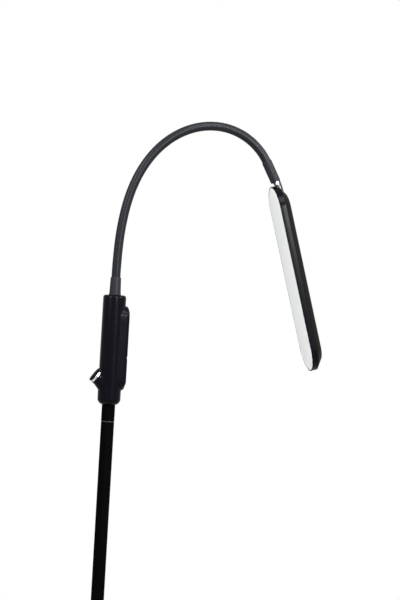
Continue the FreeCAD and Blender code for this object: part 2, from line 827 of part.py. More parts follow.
def neck_line(below, beyond):
    """The neck's centre line, from a distance below its first arc to one beyond its last."""
    start = arcs[0][0]
    edges = [Part.LineSegment(start - Vector(0, 0, below), start).toShape()]
    edges += [arc_edge(*arc) for arc in arcs]
    edges.append(Part.LineSegment(neck_end, neck_end + heading(neck_end_angle) * beyond).toShape())
    return Part.Wire(edges)


def swept(radius, line, corners=0):
    """A round solid swept along a line; corners 1 mitres the line's corners."""
    edge = line.Edges[0]
    along = edge.tangentAt(edge.FirstParameter)
    circle = Part.Circle(edge.valueAt(edge.FirstParameter), along, radius)
    return Part.Wire(line).makePipeShell([Part.Wire(circle.toShape())], True, False, corners)


# ---------------------------------------------------------------- neck: core, sleeve and lead

cup_radius = float(size.dome_radius + size.loose_gap)
core_bore = float(size.core_bore)


def on_ball(radius, angle, centre=0.0):
    """A corner on a ball of the core's axis, an angle up from the ball's middle."""
    return (radius * math.cos(math.radians(angle)), centre + radius * math.sin(math.radians(angle)))


def bore_angle(radius):
    """How far up a ball its surface meets the core's bore."""
    return math.degrees(math.acos(core_bore / radius))


def core_length(length, cup=True, dome=True):
    """A rigid length of the wound core: a hollow cup at its lower end takes the dome of the one
    below, so neighbours roll on each other about the dome's centre.  A bore holds the lead."""
    barrel = float(size.core_radius)
    ball = float(size.dome_radius)
    back = float(size.dome_neck_radius)
    corners = [(core_bore, 0.0), (barrel, 0.0)]
    if cup:
        top = bore_angle(cup_radius)
        low = math.degrees(math.asin(float(size.cup_depth) / cup_radius))
        corners = [on_ball(cup_radius, top), on_ball(cup_radius, (top + low) / 2), on_ball(cup_radius, low),
                   (float(size.cup_rim_radius), float(size.cup_depth)), (barrel, float(size.cup_depth) + 3.0)]
    if dome:
        tail = -math.degrees(math.acos(back / ball))
        corners += [(barrel, length - 5.5), (back, length - 3.2), on_ball(ball, tail, length),
                    on_ball(ball, 10, length), on_ball(ball, 33, length), on_ball(ball, bore_angle(ball), length)]
    else:
        corners += [(barrel, length), (core_bore, length)]
    return faceted_shape(corners)


joints = neck_joints()
core_below = float(size.ferrule_length) + 10
add_shape("neck_core_root", core_length(core_below, cup=False),
          Placement(joints[0][0] - Vector(0, 0, core_below), Rotation()))
for index, ((here, angle), (there, _)) in enumerate(zip(joints, joints[1:]), start=1):
    add_shape(f"neck_core_{index:02d}", core_length((there - here).Length),
              Placement(here, Rotation(Vector(0, 1, 0), angle)))
last_joint, last_angle = joints[-1]
core_grip = float(size.end_ferrule_grip) + 4
add_shape("neck_core_end", core_length((neck_end - last_joint).Length + core_grip, dome=False),
          Placement(last_joint, Rotation(Vector(0, 1, 0), last_angle)))

sleeve_below = float(size.ferrule_length - sleeve_seat)
sleeve_line = neck_line(sleeve_below, float(size.end_ferrule_grip) - 1)
sleeve_bore = float(size.sleeve_radius - size.sleeve_wall)
add_shape("neck_sleeve", swept(float(size.sleeve_radius), sleeve_line).cut(swept(sleeve_bore, sleeve_line)))

lead_start = Vector(0, 0, float(board_low + size.board_length))
lead_finish = neck_end + heading(neck_end_angle) * (float(size.end_ferrule_grip) + 3)
lead_points = [lead_start] + [point for point, _ in joints] + [lead_finish]
add_shape("neck_lead", swept(float(size.lead_radius), Part.makePolygon(lead_points), 1))


# ---------------------------------------------------------------- upper ferrule, fork and hinge

end_place = Placement(neck_end, Rotation(Vector(0, 1, 0), neck_end_angle))
pivot_z = size.end_ferrule_length + size.pivot_reach
fork = turned("fork_ferrule", [
    (size.end_ferrule_bore, -2), (size.end_ferrule_radius - 0.3, -2), (size.end_ferrule_radius, -1.2),
    (size.end_ferrule_radius, size.end_ferrule_length - size.end_ferrule_chamfer),
    (size.end_ferrule_radius - size.end_ferrule_chamfer, size.end_ferrule_length), (0, size.end_ferrule_length),
    (0, size.end_ferrule_grip + 5), (core_fit, size.end_ferrule_grip + 5),
    (core_fit, size.end_ferrule_grip), (size.end_ferrule_bore, size.end_ferrule_grip)], end_place)
cheeks = add_sketch(fork, "cheeks", "XZ_Plane")
draw_obround(cheeks, size.cheek_radius, size.end_ferrule_grip + 8, pivot_z + size.cheek_radius)
extrude(fork, cheeks, size.cheek_outer * 2, both_ways=True)
slot = add_sketch(fork, "slot", "YZ_Plane")
slot_floor = pivot_z - size.knuckle_radius - size.loose_gap
draw_rectangle(slot, size.cheek_inner, slot_floor, pivot_z + size.cheek_radius * 2)
extrude(fork, slot, None, "Pocket", both_ways=True)
pin_hole = add_sketch(fork, "pin_hole", "XZ_Plane")
draw_circle(pin_hole, 0, pivot_z, size.pin_radius + size.fit_gap)
extrude(fork, pin_hole, None, "Pocket", both_ways=True)
pin_flat = add_sketch(fork, "pin_flat", "XZ_Plane", size.cheek_outer)
draw_circle(pin_flat, 0, pivot_z, size.pin_head_radius + size.loose_gap)
extrude(fork, pin_flat, size.end_ferrule_radius, "Pocket", reverse=True)
lead_hole = add_sketch(fork, "lead_hole", "XY_Plane", size.end_ferrule_length)
draw_circle(lead_hole, -size.head_lead_offset, 0, size.head_lead_radius + size.fit_gap)
extrude(fork, lead_hole, size.end_ferrule_length - size.end_ferrule_grip - 2, "Pocket")

pivot = end_place.multVec(Vector(0, 0, float(pivot_z)))
pin_place = Placement(pivot, Rotation(Vector(1, 0, 0), 90))
pin_end = -size.cheek_outer - 0.4
turned("hinge_pin", [
    (0, pin_end), (size.pin_radius, pin_end), (size.pin_radius, size.cheek_outer),
    (size.pin_head_radius, size.cheek_outer),
    (size.pin_head_radius, size.cheek_outer + size.pin_head_height / 2),
    (size.pin_head_radius - 0.6, size.cheek_outer + size.pin_head_height),
    (0, size.cheek_outer + size.pin_head_height)], pin_place)

washer = tube(size.cheek_radius - 0.2, size.pin_radius + size.fit_gap,
              size.knuckle_half_width, size.cheek_inner)
mirrored = [(radius, -height) for radius, height in washer]
add_shape("hinge_washers", Part.makeCompound([turned_shape(washer), turned_shape(mirrored)]), pin_place)


# ---------------------------------------------------------------- lamp head

head_angle = neck_end_angle + float(size.head_turn)
head_place = Placement(pivot, Rotation(Vector(0, 1, 0), head_angle))
head_low = size.head_gap
head_high = size.head_gap + size.head_length
wall_back = size.head_front - size.head_side_wall
head_back = wall_back - size.head_bevel_depth

housing = add_body("head_housing", head_place)
side_outline = add_sketch(housing, "side", "YZ_Plane", size.head_front)
draw_obround(side_outline, size.head_half_width, head_low, head_high)
extrude(housing, side_outline, size.head_side_wall, reverse=True)
bevel_start = add_sketch(housing, "bevel_start", "YZ_Plane", wall_back)
draw_obround(bevel_start, size.head_half_width, head_low, head_high)
bevel_end = add_sketch(housing, "bevel_end", "YZ_Plane", head_back)
inset = size.head_bevel_inset
draw_obround(bevel_end, size.head_half_width - inset, head_low + inset, head_high - inset)
bevel = housing.newObject("PartDesign::AdditiveLoft", "head_bevel")
bevel.Profile = bevel_start
bevel.Sections = [bevel_end]
bevel.Ruled = True
checked(housing, bevel, True)
seat = add_sketch(housing, "diffuser_seat", "YZ_Plane", size.head_front)
lip = size.diffuser_lip
draw_obround(seat, size.head_half_width - lip, head_low + lip, head_high - lip)
extrude(housing, seat, size.diffuser_thickness, "Pocket")
hollow = add_sketch(housing, "hollow", "YZ_Plane", size.head_front)
ledge = lip + size.head_wall
draw_obround(hollow, size.head_half_width - ledge, head_low + ledge, head_high - ledge)
extrude(housing, hollow, size.head_side_wall, "Pocket")
deep = add_sketch(housing, "deep_hollow", "YZ_Plane", wall_back)
deep_inset = inset + size.head_wall + 1
draw_obround(deep, size.head_half_width - deep_inset, head_low + deep_inset, head_high - deep_inset)
extrude(housing, deep, size.head_bevel_depth - size.head_wall, "Pocket")
knuckle_slot = add_sketch(housing, "knuckle_slot", "XY_Plane")
draw_rectangle(knuckle_slot, size.knuckle_radius, -size.knuckle_half_width, size.knuckle_half_width)
extrude(housing, knuckle_slot, size.knuckle_tail, "Pocket", reverse=True)
lead_entry = add_sketch(housing, "lead_entry", "XY_Plane")
lead_entry_x = -size.head_lead_offset - size.head_lead_radius
draw_circle(lead_entry, lead_entry_x, 0, size.head_lead_radius + size.fit_gap)
extrude(housing, lead_entry, size.knuckle_tail - 4, "Pocket", reverse=True)

knuckle_screw_hole = add_sketch(housing, "knuckle_screw_hole", "YZ_Plane", -size.knuckle_radius)
draw_circle(knuckle_screw_hole, 0, size.knuckle_screw_reach, size.small_screw_radius + size.fit_gap)
knuckle_screw_bite = size.knuckle_radius / 2
extrude(housing, knuckle_screw_hole, knuckle_screw_bite, "Pocket")
board_screw_across = size.head_half_width - size.board_screw_inset
board_screw_places = [(-board_screw_across, head_low + size.board_screw_end),
                      (board_screw_across, head_high - size.board_screw_end)]


def draw_board_screw_holes(sketch):
    """The two holes, cornerwise from each other, that hold the board of light-emitting diodes."""
    for across, height in board_screw_places:
        draw_circle(sketch, across, height, size.small_screw_radius + size.fit_gap)


board_holes = add_sketch(housing, "board_holes", "YZ_Plane", wall_back)
draw_board_screw_holes(board_holes)
extrude(housing, board_holes, 4.5, "Pocket")

knuckle = add_body("head_knuckle", head_place)
tongue = add_sketch(knuckle, "tongue", "XZ_Plane")
draw_obround(tongue, size.knuckle_radius, -size.knuckle_radius, size.knuckle_tail)
extrude(knuckle, tongue, size.knuckle_half_width * 2, both_ways=True)
eye = add_sketch(knuckle, "eye", "XZ_Plane")
draw_circle(eye, 0, 0, size.pin_radius + size.fit_gap)
extrude(knuckle, eye, None, "Pocket", both_ways=True)
through = add_sketch(knuckle, "screw_hole", "YZ_Plane")
draw_circle(through, 0, size.knuckle_screw_reach, size.small_screw_radius + size.fit_gap)
extrude(knuckle, through, None, "Pocket", both_ways=True)

diffuser = add_body("diffuser", head_place)
panel = add_sketch(diffuser, "panel", "YZ_Plane", size.head_front)
panel_inset = lip + size.fit_gap * 2
draw_obround(panel, size.head_half_width - panel_inset, head_low + panel_inset, head_high - panel_inset)
extrude(diffuser, panel, size.diffuser_thickness, reverse=True)

led_board = add_body("led_board", head_place)
led_face = wall_back + size.led_board_thickness
board_outline = add_sketch(led_board, "outline", "YZ_Plane", led_face)
board_inset = ledge + size.loose_gap
draw_obround(board_outline, size.head_half_width - board_inset,
             head_low + size.knuckle_tail, head_high - board_inset)
extrude(led_board, board_outline, size.led_board_thickness, reverse=True)
led_board_holes = add_sketch(led_board, "holes", "YZ_Plane", led_face)
draw_board_screw_holes(led_board_holes)
extrude(led_board, led_board_holes, None, "Pocket")


def small_screw(depth, across, height, length):
    """A small pan-head screw of the lamp head, driven from the front."""
    head = float(size.small_screw_head)
    radius = float(size.small_screw_radius)
    solid = turned_shape([(0, 0.9), (head, 0.9), (head, 0), (radius, 0), (radius, -length), (0, -length)])
    return solid.transformed(Placement(Vector(float(depth), float(across), float(height)),
                                       Rotation(Vector(0, 1, 0), 90)).toMatrix())


knuckle_screw_length = float(size.knuckle_radius * 2 + knuckle_screw_bite)
add_shape("knuckle_screw", small_screw(size.knuckle_radius, 0, size.knuckle_screw_reach, knuckle_screw_length),
          head_place)
add_shape("board_screws", Part.makeCompound(
    [small_screw(led_face, across, height, 5.0) for across, height in board_screw_places]), head_place)


def leds():
    """Rows of square light-emitting diodes on the front of their board."""
    side, height = 3.0, 0.8
    rows, count = int(size.led_rows.value), int(size.leds_in_row.value)
    low = float(head_low + size.knuckle_tail) + 18
    high = float(head_high) - 22
    boxes = []
    for row in range(rows):
        across = (row - (rows - 1) / 2) * float(size.head_half_width) * 0.7
        for place in range(count):
            along = low + (high - low) * place / (count - 1)
            corner = Vector(float(led_face), across - side / 2, along - side / 2)
            boxes.append(Part.makeBox(height, side, side, corner))
    return Part.makeCompound(boxes)


add_shape("leds", leds(), head_place)


def head_lead():
    """The short lead that bridges the hinge behind the fork, from the ferrule into the head."""
    offset = -float(size.head_lead_offset)
    end = float(size.end_ferrule_length)
    mouth = float(head_low)
    in_ferrule = [end_place.multVec(Vector(offset, 0, place)) for place in (end - 8, end + 0.5)]
    in_head = [head_place.multVec(Vector(float(lead_entry_x), 0, place)) for place in (mouth - 0.5, mouth + 12)]
    return swept(float(size.head_lead_radius), Part.makePolygon(in_ferrule + in_head), 1)


add_shape("head_lead", head_lead())


# ---------------------------------------------------------------- check and write

doc.recompute()
for item in doc.Objects:
    if "Invalid" in item.State or "Error" in item.State:
        raise RuntimeError(f"{item.Label} is {item.State}")
for part in parts:
    if part.Shape.isNull() or not part.Shape.isValid():
        raise RuntimeError(f"{part.Label} has no valid shape")

os.makedirs("parts", exist_ok=True)
for part in parts:
    part.Shape.exportStep(f"parts/{part.Label}.step")
print(len(parts), "pieces written")
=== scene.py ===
import math

import bmesh
import bpy
import numpy as np
from mathutils import Matrix, Vector


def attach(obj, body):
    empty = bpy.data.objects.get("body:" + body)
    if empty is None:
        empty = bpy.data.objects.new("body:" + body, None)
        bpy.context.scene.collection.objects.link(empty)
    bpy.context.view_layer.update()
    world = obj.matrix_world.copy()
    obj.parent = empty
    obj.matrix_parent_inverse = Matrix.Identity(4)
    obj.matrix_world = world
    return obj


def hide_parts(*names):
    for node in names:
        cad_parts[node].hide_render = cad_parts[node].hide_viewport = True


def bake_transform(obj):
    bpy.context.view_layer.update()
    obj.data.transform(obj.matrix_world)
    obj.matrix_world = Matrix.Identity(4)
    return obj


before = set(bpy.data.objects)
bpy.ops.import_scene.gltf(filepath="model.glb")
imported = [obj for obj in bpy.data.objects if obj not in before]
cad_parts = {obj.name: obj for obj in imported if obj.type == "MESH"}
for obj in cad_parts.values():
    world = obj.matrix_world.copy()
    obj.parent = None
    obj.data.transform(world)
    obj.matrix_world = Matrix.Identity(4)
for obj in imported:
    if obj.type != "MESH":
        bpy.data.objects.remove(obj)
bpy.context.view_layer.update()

scene = bpy.context.scene
scene.view_settings.view_transform = "Standard"


# ---------------------------------------------------------------- camera
# Seen from in front of the handle and a little to the side of the pole that is away from the
# lamp head, at the height of the neck's upper part, and rolled by a few degrees.
camera_at = (-0.2485, -1.9563, 1.1799)
camera_azimuth, camera_pitch, camera_roll = 10.245, -0.35, 3.326
focal_pixels, long_side_pixels = 1623.5, 600


def camera_matrix(place, azimuth, pitch, roll):
    """A camera's own axes as columns: it looks along the azimuth, which is counted from +Y
    towards +X, raised by the pitch and turned about its own view by the roll."""
    azimuth, pitch, roll = (math.radians(angle) for angle in (azimuth, pitch, roll))
    level = math.cos(pitch)
    ahead = Vector((math.sin(azimuth) * level, math.cos(azimuth) * level, math.sin(pitch)))
    right = Vector((math.cos(azimuth), -math.sin(azimuth), 0))
    up = right.cross(ahead)
    across = right * math.cos(roll) + up * math.sin(roll)
    upright = up * math.cos(roll) - right * math.sin(roll)
    columns = Matrix((across, upright, -ahead)).transposed().to_4x4()
    return Matrix.Translation(place) @ columns


camera = bpy.data.objects.new("camera", bpy.data.cameras.new("camera"))
scene.collection.objects.link(camera)
camera.matrix_world = camera_matrix(camera_at, camera_azimuth, camera_pitch, camera_roll)
camera.data.sensor_width = 36
camera.data.lens = focal_pixels * camera.data.sensor_width / long_side_pixels
camera.data.clip_end = 60
scene.camera = camera


# ---------------------------------------------------------------- floor, world and lamps
# A pale studio floor whose outer part fades into the white surroundings, so that only the
# lamp's shadow shows on it.  The world is white where it is seen or mirrored, and faint as a light.
def seen_or_mirrored(tree):
    """One where a ray comes from the camera, a reflection or glass, and zero for other light."""
    path = tree.nodes.new("ShaderNodeLightPath")
    total = path.outputs["Is Camera Ray"]
    for name in ("Is Glossy Ray", "Is Transmission Ray"):
        both = tree.nodes.new("ShaderNodeMath")
        both.operation = "MAXIMUM"
        tree.links.new(total, both.inputs[0])
        tree.links.new(path.outputs[name], both.inputs[1])
        total = both.outputs[0]
    return total


def between(tree, low, high, factor):
    """The value that runs from low to high as the factor goes from zero to one."""
    ramp = tree.nodes.new("ShaderNodeMapRange")
    ramp.inputs["To Min"].default_value = low
    ramp.inputs["To Max"].default_value = high
    tree.links.new(factor, ramp.inputs["Value"])
    return ramp.outputs["Result"]


world = bpy.data.worlds.new("studio")
scene.world = world
world.use_nodes = True
background = world.node_tree.nodes["Background"]
background.inputs["Color"].default_value = (1, 1, 1, 1)
ambient = 0.07
world.node_tree.links.new(between(world.node_tree, ambient, 1.0, seen_or_mirrored(world.node_tree)),
                          background.inputs["Strength"])

floor_half, shadow_reach, fade_reach = 9.0, 0.35, 1.5
floor_mesh = bpy.data.meshes.new("floor")
floor_mesh.from_pydata([(-floor_half, -floor_half, 0), (floor_half, -floor_half, 0),
                        (floor_half, floor_half, 0), (-floor_half, floor_half, 0)], [], [(0, 1, 2, 3)])
floor = bpy.data.objects.new("floor", floor_mesh)
scene.collection.objects.link(floor)
floor_finish = bpy.data.materials.new("studio_floor")
floor_finish.use_nodes = True
tree = floor_finish.node_tree
matt = tree.nodes["Principled BSDF"]
matt.inputs["Base Color"].default_value = (0.9, 0.9, 0.9, 1)
matt.inputs["Roughness"].default_value = 0.9
matt.inputs["Specular IOR Level"].default_value = 0.1
glow = tree.nodes.new("ShaderNodeEmission")
tree.links.new(between(tree, ambient, 1.0, seen_or_mirrored(tree)), glow.inputs["Strength"])
coordinates = tree.nodes.new("ShaderNodeTexCoord")
distance = tree.nodes.new("ShaderNodeVectorMath")
distance.operation = "LENGTH"
tree.links.new(coordinates.outputs["Object"], distance.inputs[0])
fade = tree.nodes.new("ShaderNodeMapRange")
fade.interpolation_type = "SMOOTHSTEP"
fade.inputs["From Min"].default_value = shadow_reach
fade.inputs["From Max"].default_value = fade_reach
tree.links.new(distance.outputs["Value"], fade.inputs["Value"])
mixed = tree.nodes.new("ShaderNodeMixShader")
tree.links.new(fade.outputs["Result"], mixed.inputs["Fac"])
tree.links.new(matt.outputs["BSDF"], mixed.inputs[1])
tree.links.new(glow.outputs["Emission"], mixed.inputs[2])
tree.links.new(mixed.outputs["Shader"], tree.nodes["Material Output"].inputs["Surface"])
floor_mesh.materials.append(floor_finish)

lamp_aim = Vector((0.1, 0, 1.15))
# name, place, size across and down, power in watts
lamps = [
    ("key", (-1.9, -1.5, 2.5), 1.2, 1.4, 92),
    ("side", (0.68, -1.97, 1.62), 0.35, 0.45, 46),
    ("front", (0.3, -1.4, 2.8), 0.9, 0.9, 50),
    ("rim", (1.6, -0.8, 2.1), 0.7, 1.0, 44),
]
for name, place, width, height, power in lamps:
    light = bpy.data.lights.new(name, "AREA")
    light.shape = "RECTANGLE"
    light.size, light.size_y = width, height
    light.energy = power
    lamp = bpy.data.objects.new(name, light)
    scene.collection.objects.link(lamp)
    lamp.location = place
    lamp.rotation_euler = (lamp_aim - Vector(place)).to_track_quat("-Z", "Y").to_euler()


# ---------------------------------------------------------------- base pad
# A disc of black foam, glued under the cast weight, that keeps the lamp from sliding and from
# marking the floor.  Its lower edge is worn round.
def rounded(corners):
    """A closed outline through (radius, height, rounding) corners, in millimetres.  Each corner
    becomes the arc that touches both its sides: the vector from the arc's centre to its start
    turns evenly into the one to its end."""
    points_each = 5
    corners = np.array(corners, float)
    point, rounding = corners[:, :2], corners[:, 2:]
    before = np.roll(point, 1, 0) - point
    after = np.roll(point, -1, 0) - point
    before /= np.linalg.norm(before, axis=1, keepdims=True)
    after /= np.linalg.norm(after, axis=1, keepdims=True)
    half = np.arccos(np.clip((before * after).sum(1, keepdims=True), -1, 1)) / 2
    middle = before + after
    middle /= np.linalg.norm(middle, axis=1, keepdims=True)
    centre = point + middle * rounding / np.sin(half)
    start = point + before * rounding / np.tan(half) - centre
    end = point + after * rounding / np.tan(half) - centre
    turn = np.pi - 2 * half[:, None]
    share = np.linspace(0, 1, points_each)[None, :, None]
    spread = np.sin((1 - share) * turn) * start[:, None] + np.sin(share * turn) * end[:, None]
    return (centre[:, None] + spread / np.sin(turn)).reshape(-1, 2)


def surface(name, material, *sheets, place=Matrix.Identity(4)):
    """A mesh from sheets, each a grid of points in millimetres (rows, columns, 3) and whether its
    rows and its columns close.  Each cell is a face; points that coincide are merged."""
    points, faces, first = [], [], 0
    for grid, (rows_close, columns_close) in sheets:
        rows, columns = grid.shape[:2]
        row = np.arange(rows if rows_close else rows - 1)[:, None]
        column = np.arange(columns if columns_close else columns - 1)[None]
        next_row, next_column = (row + 1) % rows, (column + 1) % columns
        cells = np.stack([row * columns + column, row * columns + next_column,
                          next_row * columns + next_column, next_row * columns + column], -1)
        faces.append(cells.reshape(-1, 4) + first)
        points.append(grid.reshape(-1, 3))
        first += rows * columns
    matrix = np.array(place)
    placed = (np.concatenate(points) @ matrix[:3, :3].T + matrix[:3, 3]) / 1000
    mesh = bpy.data.meshes.new(name)
    mesh.from_pydata(placed.tolist(), [], np.concatenate(faces).tolist())
    mesh.materials.append(material)
    piece = bpy.data.objects.new(name, mesh)
    scene.collection.objects.link(piece)
    closed_up(mesh)
    return piece


def closed_up(mesh):
    """Merge a mesh's coincident points, turn its faces outwards and smooth all but sharp edges."""
    same_point, sharp = 2e-6, math.radians(32)
    shaped = bmesh.new()
    shaped.from_mesh(mesh)
    bmesh.ops.remove_doubles(shaped, verts=shaped.verts, dist=same_point)
    bmesh.ops.recalc_face_normals(shaped, faces=shaped.faces)
    shaped.to_mesh(mesh)
    shaped.free()
    mesh.shade_smooth()
    mesh.set_sharp_from_angle(angle=sharp)


def turned(name, material, corners, steps=96, place=Matrix.Identity(4)):
    """A surface of revolution: the rounded outline carried round the piece's own axis, so that
    a point is (radius times cosine, radius times sine, height)."""
    outline = rounded(corners)
    angle = np.linspace(0, 2 * np.pi, steps, endpoint=False)
    radius, height = outline[:, :1], outline[:, 1:]
    grid = np.stack([radius * np.cos(angle), radius * np.sin(angle), height + 0 * angle], -1)
    return surface(name, material, (grid, (True, True)), place=place)


def finish(name, colour, roughness, grain, depth, mottle=0.12, **sockets):
    """A material of one colour with a faint mottle in colour and gloss, and a fine grain that
    moves the surface by a depth.  The grain's size and the depth are in metres."""
    material = bpy.data.materials.new(name)
    material.use_nodes = True
    tree = material.node_tree
    shader = tree.nodes["Principled BSDF"]
    for socket, value in sockets.items():
        shader.inputs[socket.replace("_", " ")].default_value = value
    coordinates = tree.nodes.new("ShaderNodeTexCoord")
    cloud = tree.nodes.new("ShaderNodeTexNoise")
    cloud.inputs["Scale"].default_value = 60
    cloud.inputs["Detail"].default_value = 6
    tree.links.new(coordinates.outputs["Object"], cloud.inputs["Vector"])
    ramp = tree.nodes.new("ShaderNodeValToRGB")
    for stop, position, share in zip(ramp.color_ramp.elements, (0.3, 0.7), (1 - mottle, 1 + mottle)):
        stop.position = position
        stop.color = (*(min(1, share * part) for part in colour), 1)
    tree.links.new(cloud.outputs["Fac"], ramp.inputs["Fac"])
    tree.links.new(ramp.outputs["Color"], shader.inputs["Base Color"])
    gloss = between(tree, roughness * (1 - mottle), roughness * (1 + mottle), cloud.outputs["Fac"])
    tree.links.new(gloss, shader.inputs["Roughness"])
    noise = tree.nodes.new("ShaderNodeTexNoise")
    noise.inputs["Scale"].default_value = 1 / grain
    noise.inputs["Detail"].default_value = 3
    tree.links.new(coordinates.outputs["Object"], noise.inputs["Vector"])
    bump = tree.nodes.new("ShaderNodeBump")
    bump.inputs["Distance"].default_value = depth
    tree.links.new(noise.outputs["Fac"], bump.inputs["Height"])
    tree.links.new(bump.outputs["Normal"], shader.inputs["Normal"])
    return material


foam = finish("foam_pad", (0.02, 0.02, 0.021), 0.95, 0.0006, 0.00012, 0.2, Specular_IOR_Level=0.2)
pad_radius, pad_height = 112, 2
base_pad = turned("base_foam_pad", foam, [
    (0, 0, 0), (pad_radius, 0, 0.8), (pad_radius, pad_height, 0), (0, pad_height, 0)], 128)
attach(base_pad, "stand")
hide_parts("base_pad")


# ---------------------------------------------------------------- base weight, washer and bolt
# A cast iron disc with a raised hub and a recess below, and the zinc plated bolt and washer that
# pull it and the cover against the pole's foot.  The casting is dressed at its edges only.
cast_iron = finish("cast_iron", (0.07, 0.068, 0.066), 0.75, 0.0016, 0.00025, 0.3, Metallic=0.4)
base_weight = turned("base_weight_casting", cast_iron, [
    (4.3, 9.5, 0), (15, 9.5, 0.6), (15, 2, 0.6), (117, 2, 1), (117, 14, 1), (30, 14, 0.5),
    (30, 16.5, 0.4), (4.3, 16.5, 0.3)], 128)
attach(base_weight, "stand")
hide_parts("base_weight")


def dress(material, *names):
    """Give carried-over pieces of the frame their finish."""
    for name in names:
        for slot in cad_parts[name].material_slots:
            slot.material = material


zinc = finish("zinc_plate", (0.52, 0.53, 0.55), 0.38, 0.0009, 0.000012, 0.2, Metallic=1.0)
dress(zinc, "bolt_washer", "base_bolt", "ferrule_nut")


# ---------------------------------------------------------------- base cover
# A pressed steel cap over the weight, powder coated in satin black.  Its skirt ends just above
# the pad and its upper edge is rolled over.
powder_coat = finish("powder_coat", (0.006, 0.006, 0.0065), 0.42, 0.0011, 0.00002, 0.14,
                     Specular_IOR_Level=0.06)
base_radius, base_top, skirt_low = 120, 18, 2.6
base_cover = turned("base_cover_pressing", powder_coat, [
    (4.3, 16.5, 0), (118.5, 16.5, 1), (118.5, skirt_low, 0.4), (base_radius, skirt_low, 0.5),
    (base_radius, base_top, 2.5), (4.3, base_top, 0)], 192)
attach(base_cover, "stand")
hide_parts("base_cover")


# ---------------------------------------------------------------- pole foot
# A turned steel socket that stands on the cover and is held by the bolt from below.  Its side
# has a flat spot with a hole for the inlet, and its spigot plugs into the lowest pole section.
def carve(piece, cutters, joined=()):
    """Join some solids to a piece and then cut others from it; the solids are thrown away."""
    for operation, tools in (("UNION", joined), ("DIFFERENCE", cutters)):
        for tool in tools:
            step = piece.modifiers.new(operation, "BOOLEAN")
            step.operation = operation
            step.object = tool
            step.solver = "MANIFOLD"
    depsgraph = bpy.context.evaluated_depsgraph_get()
    depsgraph.update()
    piece_now = bpy.data.meshes.new_from_object(piece.evaluated_get(depsgraph))
    piece.modifiers.clear()
    piece.data = piece_now
    for tool in (*joined, *cutters):
        bpy.data.objects.remove(tool)
    closed_up(piece.data)
    return piece


def facing(direction, place):
    """The matrix that stands a turned piece's axis along a direction at a place."""
    return Matrix.Translation(place) @ Vector(direction).to_track_quat("Z", "Y").to_matrix().to_4x4()


inlet_height = 38
inlet_place = facing((-1, 0, 0), (-13.2, 0, inlet_height))
pole_foot = turned("pole_foot_socket", powder_coat, [
    (4.05, 18, 0), (22, 18, 0.4), (22, 20.5, 0.8), (15, 23, 2), (15, 44, 1.5), (9.6, 52, 0.5),
    (6.75, 52, 0), (6.75, 80, 0.4), (4.5, 80, 0), (4.5, 52, 0), (6.5, 44, 0), (6.5, 32, 0), (4.05, 30, 0)])
carve(pole_foot, [
    turned("spot", powder_coat, [(0, 0, 0), (5.9, 0, 0), (5.9, 5, 0), (0, 5, 0)], 64, inlet_place),
    turned("hole", powder_coat, [(0, -10, 0), (4.05, -10, 0), (4.05, 1, 0), (0, 1, 0)], 64, inlet_place)])
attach(pole_foot, "stand")
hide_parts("pole_foot")


# ---------------------------------------------------------------- power inlet
# A round low-voltage socket of moulded plastic with a nickel centre pin, pressed into the foot
# from the side that is away from the lamp head.
inlet_plastic = finish("inlet_plastic", (0.012, 0.012, 0.013), 0.5, 0.0004, 0.00001,
                       Specular_IOR_Level=0.35)
nickel = finish("nickel_plate", (0.26, 0.256, 0.245), 0.32, 0.0007, 0.000004, 0.08, Metallic=1.0)
inlet = turned("power_inlet_socket", inlet_plastic, [
    (0, -14.5, 0), (1.4, -14.5, 0.3), (1.4, -10, 0), (4, -10, 0.3), (4, 0, 0), (5.6, 0, 0.1),
    (5.6, 1.5, 0.5), (2.8, 1.5, 0.4), (2.8, -8.5, 0), (0, -8.5, 0)], 64, inlet_place)
inlet_pin = turned("power_inlet_pin", nickel, [
    (0, -8.5, 0), (1, -8.5, 0), (1, 0, 0.6), (0, 0, 0)], 32, inlet_place)
for piece in (inlet, inlet_pin):
    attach(piece, "stand")
    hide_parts("power_inlet")


# ---------------------------------------------------------------- pole sections
# Three equal steel tubes, 16 mm across, powder coated in the same satin black as the base and
# dressed at their ends.
pole_coat = finish("pole_coat", (0.0012, 0.0012, 0.0013), 0.4, 0.0011, 0.000014, 0.14,
                   Specular_IOR_Level=0.003)
section_length, collar, pole_start = 320, 1, 52
pole_radius, pole_bore = 8, 6.8
for index, node in enumerate(("lower_pole", "middle_pole", "upper_pole")):
    low = pole_start + (section_length + collar) * index
    tube = turned(node + "_tube", pole_coat, [
        (pole_bore, low, 0.1), (pole_radius, low, 0.25), (pole_radius, low + section_length, 0.25),
        (pole_bore, low + section_length, 0.1)])
    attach(tube, "stand")
    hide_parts(node)


# ---------------------------------------------------------------- pole joiners
# Plain turned steel plugs inside the tubes, left uncoated.  Each one's collar shows as a thin
# pale line between two sections.
joiner_steel = finish("joiner_steel", (0.042, 0.042, 0.043), 0.42, 0.0006, 0.000008, 0.15, Metallic=1.0)
plug_radius, plug_bore, plug_depth, collar_radius = 6.75, 4.5, 28, 7.95
for index, label in enumerate(("lower", "middle", "upper")):
    low = pole_start + (section_length + collar) * (index + 1) - collar
    joiner = turned("pole_joiner_" + label, joiner_steel, [
        (plug_bore, low - plug_depth, 0), (plug_radius, low - plug_depth, 0.4), (plug_radius, low, 0),
        (collar_radius, low, 0.15), (collar_radius, low + collar, 0.15), (plug_radius, low + collar, 0),
        (plug_radius, low + collar + plug_depth, 0.4), (plug_bore, low + collar + plug_depth, 0)])
    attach(joiner, "stand")
    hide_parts("pole_joiners")


